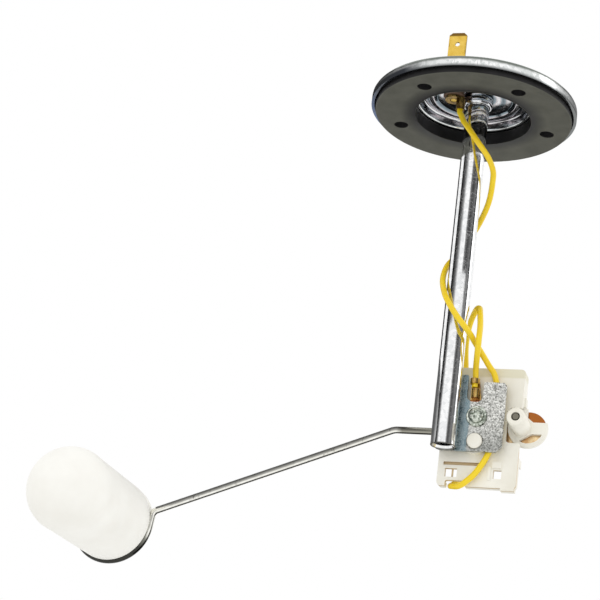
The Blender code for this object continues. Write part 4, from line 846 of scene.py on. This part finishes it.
# %% Arm
WIRE_RADIUS = 1.2
PIVOT_X, PIVOT_Z = 24.5, -107.6
AXLE_FRONT, ARM_BEHIND = -1.3, 19.2
HOOK_RADIUS, HOOK_FROM, HOOK_SWEEP, HOOK_POINTS = 13.75, -5.0, 268.0, 70
STRAIGHT_IN = 5.3
hook_angle = np.radians(HOOK_FROM) - np.radians(HOOK_SWEEP) * np.linspace(0, 1, HOOK_POINTS)
hook = float_centre + np.column_stack([HOOK_RADIUS * np.cos(hook_angle), np.full(HOOK_POINTS, ARM_BEHIND),
                                       HOOK_RADIUS * np.sin(hook_angle)])
tip, hook = hook[0], hook[1:]
before_tip = tip + STRAIGHT_IN * np.array([-math.sin(math.radians(HOOK_FROM)), 0,
                                           math.cos(math.radians(HOOK_FROM))])
kink = (-20.4, ARM_BEHIND, PIVOT_Z)
bends = rounded([(PIVOT_X, AXLE_FRONT, PIVOT_Z, 0), (PIVOT_X, ARM_BEHIND, PIVOT_Z, 3.6), (*kink, 6.0),
                 (*before_tip, 2.6), (*tip, 0)], steps=8, closed=False)
dress(swept("arm_wire", np.vstack([bends, hook]), WIRE_RADIUS), "float_arm", arm_steel)


# %% [markdown]
# ## Pieces that keep the solid's own form
# Plates and mouldings already have their real outline in CAD. They only lack
# the small radius that every real edge has, so a copy is merged, its flat
# faces are joined again, and a Bevel rounds what is left sharp.

# %% Ease the edges
EDGE_CORNER, FLAT_ENOUGH = 32.0, 0.6
STL_POINT = 1e-6


def eased(name, node, width):
    """A node's own form with its sharp edges rounded to a width in millimetres."""
    bm = bmesh.new()
    bm.from_mesh(frame["nodes"][node].data)
    bmesh.ops.remove_doubles(bm, verts=bm.verts, dist=STL_POINT)
    bmesh.ops.dissolve_limit(bm, angle_limit=math.radians(FLAT_ENOUGH), verts=bm.verts, edges=bm.edges)
    mesh = bpy.data.meshes.new(name)
    bm.to_mesh(mesh)
    bm.free()
    piece = linked(name, mesh, EDGE_CORNER)
    edge = piece.modifiers.new("edge", "BEVEL")
    edge.width = width * MM
    edge.segments = 2
    edge.limit_method = "ANGLE"
    edge.angle_limit = math.radians(EDGE_CORNER)
    edge.harden_normals = True
    bake(piece)
    return piece


# %% [markdown]
# ## Plates, mouldings and terminals
# Each row names a piece, the node it stands for, the radius of its edges in
# millimetres and its finish. Sheet metal has sharper edges than plastic. The
# winding's ridges are too fine for a bevel, so the solid is shown as it is.

# %% Eased pieces
EASED = (
    ("bracket", "bracket_plate", 0.18, spangled_zinc),
    ("pan_head_screw", "bracket_screw", 0.10, screw_zinc),
    ("washer", "screw_washer", 0.10, screw_zinc),
    ("tray", "resistor_housing", 0.22, nylon),
    ("rear_plate", "housing_back", 0.20, nylon),
    ("card", "resistor_card", 0.05, phenolic),
    ("lug", "resistor_lug", 0.08, old_brass),
    ("lug_pin", "lug_rivet", 0.08, copper),
    ("hub_and_carrier", "rotor", 0.20, nylon),
    ("leaf", "wiper_leaf", 0.06, copper),
    ("contact_button", "wiper_contact", 0.05, brass),
    ("spade", "terminal_blade", 0.15, brass),
    ("bush", "terminal_bush", 0.25, phenolic),
    ("insulating_washer", "terminal_washer", 0.15, phenolic),
    ("rivet", "terminal_rivet", 0.12, brass),
    ("tail_tag", "terminal_tag", 0.10, tarnished_brass),
)
for name, node, width, material in EASED:
    dress(eased(name, node, width), node, material)
winding = frame["nodes"]["resistor_winding"].data.materials
winding.clear()
winding.append(winding_metal)
print("eased pieces:", len(EASED))

# %% [markdown]
# ## A white room
# The photograph is cut out on white, so the world is plain white, both as the
# picture's ground and as light from all sides.

# %% World and floor
FLOOR_LEVEL, FLOOR_HALF = -0.45, 3.0
world = bpy.data.worlds.new("studio")
world.use_nodes = True
background = world.node_tree.nodes["Background"]
background.inputs["Color"].default_value = (1.0, 1.0, 1.0, 1.0)
background.inputs["Strength"].default_value = 1.0
bpy.context.scene.world = world
floor_corners = [(x * FLOOR_HALF, y * FLOOR_HALF, FLOOR_LEVEL)
                 for x, y in ((-1, -1), (1, -1), (1, 1), (-1, 1))]
floor_mesh = bpy.data.meshes.new("floor")
floor_mesh.from_pydata(floor_corners, [], [(0, 1, 2, 3)])
floor = bpy.data.objects.new("floor", floor_mesh)
bpy.context.scene.collection.objects.link(floor)
pale, *_ = start_finish("pale_floor", 0.8, Base_Color=(0.88, 0.88, 0.87, 1.0))
floor_mesh.materials.append(pale)
print("floor at", FLOOR_LEVEL, "m")


# %% [markdown]
# ## Soft lamps
# Two large soft lamps stand before the object and to its right. The front lamp
# gives the mouldings their shape, and metal does not mirror it. The right lamp
# is mirrored too, as the bright streak on round metal. Sizes are in metres.

# %% Lamps
TARGET = Vector((-0.02, 0.0, -0.07))


def softbox(name, azimuth, elevation, distance, width, height, radiance):
    """A rectangular lamp that looks at the target; its power is radiance times pi times area."""
    a, e = math.radians(azimuth), math.radians(elevation)
    spot = Vector((math.cos(a) * math.cos(e), math.sin(a) * math.cos(e), math.sin(e))) * distance
    lamp = bpy.data.lights.new(name, "AREA")
    lamp.shape = "RECTANGLE"
    lamp.size = width
    lamp.size_y = height
    lamp.energy = radiance * math.pi * width * height
    item = bpy.data.objects.new(name, lamp)
    aim = (-spot).to_track_quat("-Z", "Y").to_matrix().to_4x4()
    item.matrix_world = Matrix.Translation(TARGET + spot) @ aim
    bpy.context.scene.collection.objects.link(item)
    return item


front = softbox("front_softbox", azimuth=-100, elevation=30, distance=1.6, width=1.1, height=1.5,
                radiance=0.5)
front.visible_glossy = False
softbox("right_softbox", azimuth=17, elevation=26, distance=1.6, width=0.85, height=1.4, radiance=1.0)


# %% [markdown]
# ## Screens for the reflections
# Bright zinc shows nothing but the room, so its dark stripes are things that
# stood round it. Upright screens on arcs round the stem take their place. Only
# reflections see them. A screen's shade runs evenly between a few stops, each
# an azimuth in degrees and a shade. The stem's paint turns white for anything
# nearer than the stem, so that the cover's rim does not mirror the screens.

# %% Screen helpers
SCREEN_DISTANCE = 150
SCREEN_PARTS = 40
STEM_ONLY = 142


def screen_paint(name, nearest):
    """Shows a screen's shade to rays from farther than a distance in millimetres, and white to others."""
    material, tree, shader, _ = start_finish(name, 1.0, Base_Color=(0, 0, 0, 1), Specular_IOR_Level=0.0,
                                             Emission_Strength=1.0)
    painted = add(tree, "ShaderNodeAttribute", attribute_name="shade")
    rays = tree.nodes.new("ShaderNodeLightPath")
    far = remap(tree, rays.outputs["Ray Length"], nearest * MM, (nearest + 1) * MM, 0.0, 1.0)
    shown = mix(tree, far, (1.0, 1.0, 1.0), painted.outputs["Color"])
    tree.links.new(shown, shader.inputs["Emission Color"])
    return material


stem_paint = screen_paint("stem_paint", nearest=STEM_ONLY)
near_paint = screen_paint("near_paint", nearest=0)


def screen(name, stops, bottom, top, distance=SCREEN_DISTANCE, paint=stem_paint, turn=Matrix()):
    """Arc: stem's axis + distance (cos a, sin a) at two levels, in millimetres, moved by a turn."""
    azimuths, shades = np.array(stops, float).T
    angle = np.radians(np.linspace(azimuths[0], azimuths[-1], SCREEN_PARTS + 1))
    shade = np.interp(np.degrees(angle), azimuths, shades)
    x, y = STEM[0] + distance * np.cos(angle), STEM[1] + distance * np.sin(angle)
    rows = [np.column_stack([x, y, np.full(len(angle), level)]) for level in (bottom, top)]
    below = np.arange(SCREEN_PARTS)
    above = below + SCREEN_PARTS + 1
    mesh = bpy.data.meshes.new(name)
    mesh.from_pydata((np.vstack(rows) * MM).tolist(), [],
                     np.column_stack([below, below + 1, above + 1, above]).tolist())
    tone = mesh.color_attributes.new("shade", "FLOAT_COLOR", "POINT")
    tone.data.foreach_set("color", np.repeat(np.tile(shade, 2), 4).astype(np.float32))
    mesh.materials.append(paint)
    mesh.transform(turn)
    item = bpy.data.objects.new(name, mesh)
    for ray in ("camera", "diffuse", "transmission", "volume_scatter", "shadow"):
        setattr(item, f"visible_{ray}", False)
    bpy.context.scene.collection.objects.link(item)


# %% [markdown]
# ## Screens round the stem
# The photograph shows the stem's right half dark with fine streaks and its left
# edge black. The streaks change along the stem's length, so each side has its
# own screens one above another. The levels and the stops were chosen one by one,
# until the streaks looked like the photograph's.

# %% Screens right and left
screen("right_high", [(-68, 0.8), (-64, 0.25), (-53, 0.12), (-42, 0.06), (-20, 0.14), (-10, 0.2), (-3, 0.04),
                      (8, 0.06), (12, 0.3)], bottom=-1, top=55)
screen("right_middle", [(-33, 0.75), (-26, 0.45), (-17, 0.15), (-8, 0.3), (3, 0.05), (10, 0.25), (16, 0.4)],
       bottom=-24, top=-1)
screen("right_low", [(-58, 0.6), (-52, 0.3), (-45, 0.08), (-35, 0.09), (-14, 0.23), (-4, 0.11), (6, 0.3),
                     (10, 0.6)], bottom=-128, top=-24)
screen("left_high", [(-163, 0.01), (-149, 0.015), (-143, 0.05), (-133, 0.1), (-123, 0.22), (-112, 0.5),
                     (-104, 0.95)], bottom=-24, top=55)
screen("left_low", [(-163, 0.01), (-150, 0.01), (-144, 0.05), (-137, 0.15), (-130, 0.4), (-123, 0.95)],
       bottom=-126, top=-24)

# %% [markdown]
# ## Screens above and behind
# Two screens above the others are for the cover's rim and grow darker towards
# the back. They use the near paint. Behind the object, three nearly black ones
# darken what metal mirrors at grazing angles.

# %% Screens above and behind
screen("upper_left", [(130, 0.03), (160, 0.10), (202, 0.35), (220, 0.60), (230, 0.85), (240, 1.0)],
       bottom=55.1, top=130, paint=near_paint)
screen("upper_right", [(12, 1.0), (28, 0.5), (60, 0.2), (95, 0.2)], bottom=55.1, top=130, paint=near_paint)
screen("rear_left", [(122, 0.02), (156, 0.02)], bottom=-270, top=150)
screen("rear_high", [(92, 0.03), (122, 0.02)], bottom=-42, top=150)
screen("rear_low", [(92, 0.03), (122, 0.02)], bottom=-270, top=-100)

# %% [markdown]
# ## A screen round the arm
# The arm is a thin mirror that leans, and upright screens cannot serve it. A
# screen like an open tube lies round its straight run: it is made upright like
# the others and then turned so that its axis falls on the wire.

# %% Screen round the arm
along = (Vector(before_tip.tolist()) - Vector(kink)).normalized()
toward = Vector((0, -1, 0))
basis = Matrix((toward, along.cross(toward), along)).transposed().to_4x4()
onto_arm = Matrix.Translation(Vector(kink) * MM) @ basis @ Matrix.Translation(Vector(STEM) * -MM)
screen("round_arm", [(-150, 0.06), (-85, 0.06), (-75, 1.0), (-30, 1.0), (-18, 0.55), (30, 0.25), (60, 0.12),
                     (160, 0.12)], bottom=-8, top=96, distance=28, paint=near_paint, turn=onto_arm)
lean = math.degrees(along.angle(Vector((0, 0, 1))))
print("the arm's straight run leans", round(lean, 1), "degrees from upright")

# %% [markdown]
# ## The view
# The plain view transform keeps colours as written.

# %% Finish
bpy.context.scene.view_settings.view_transform = "Standard"
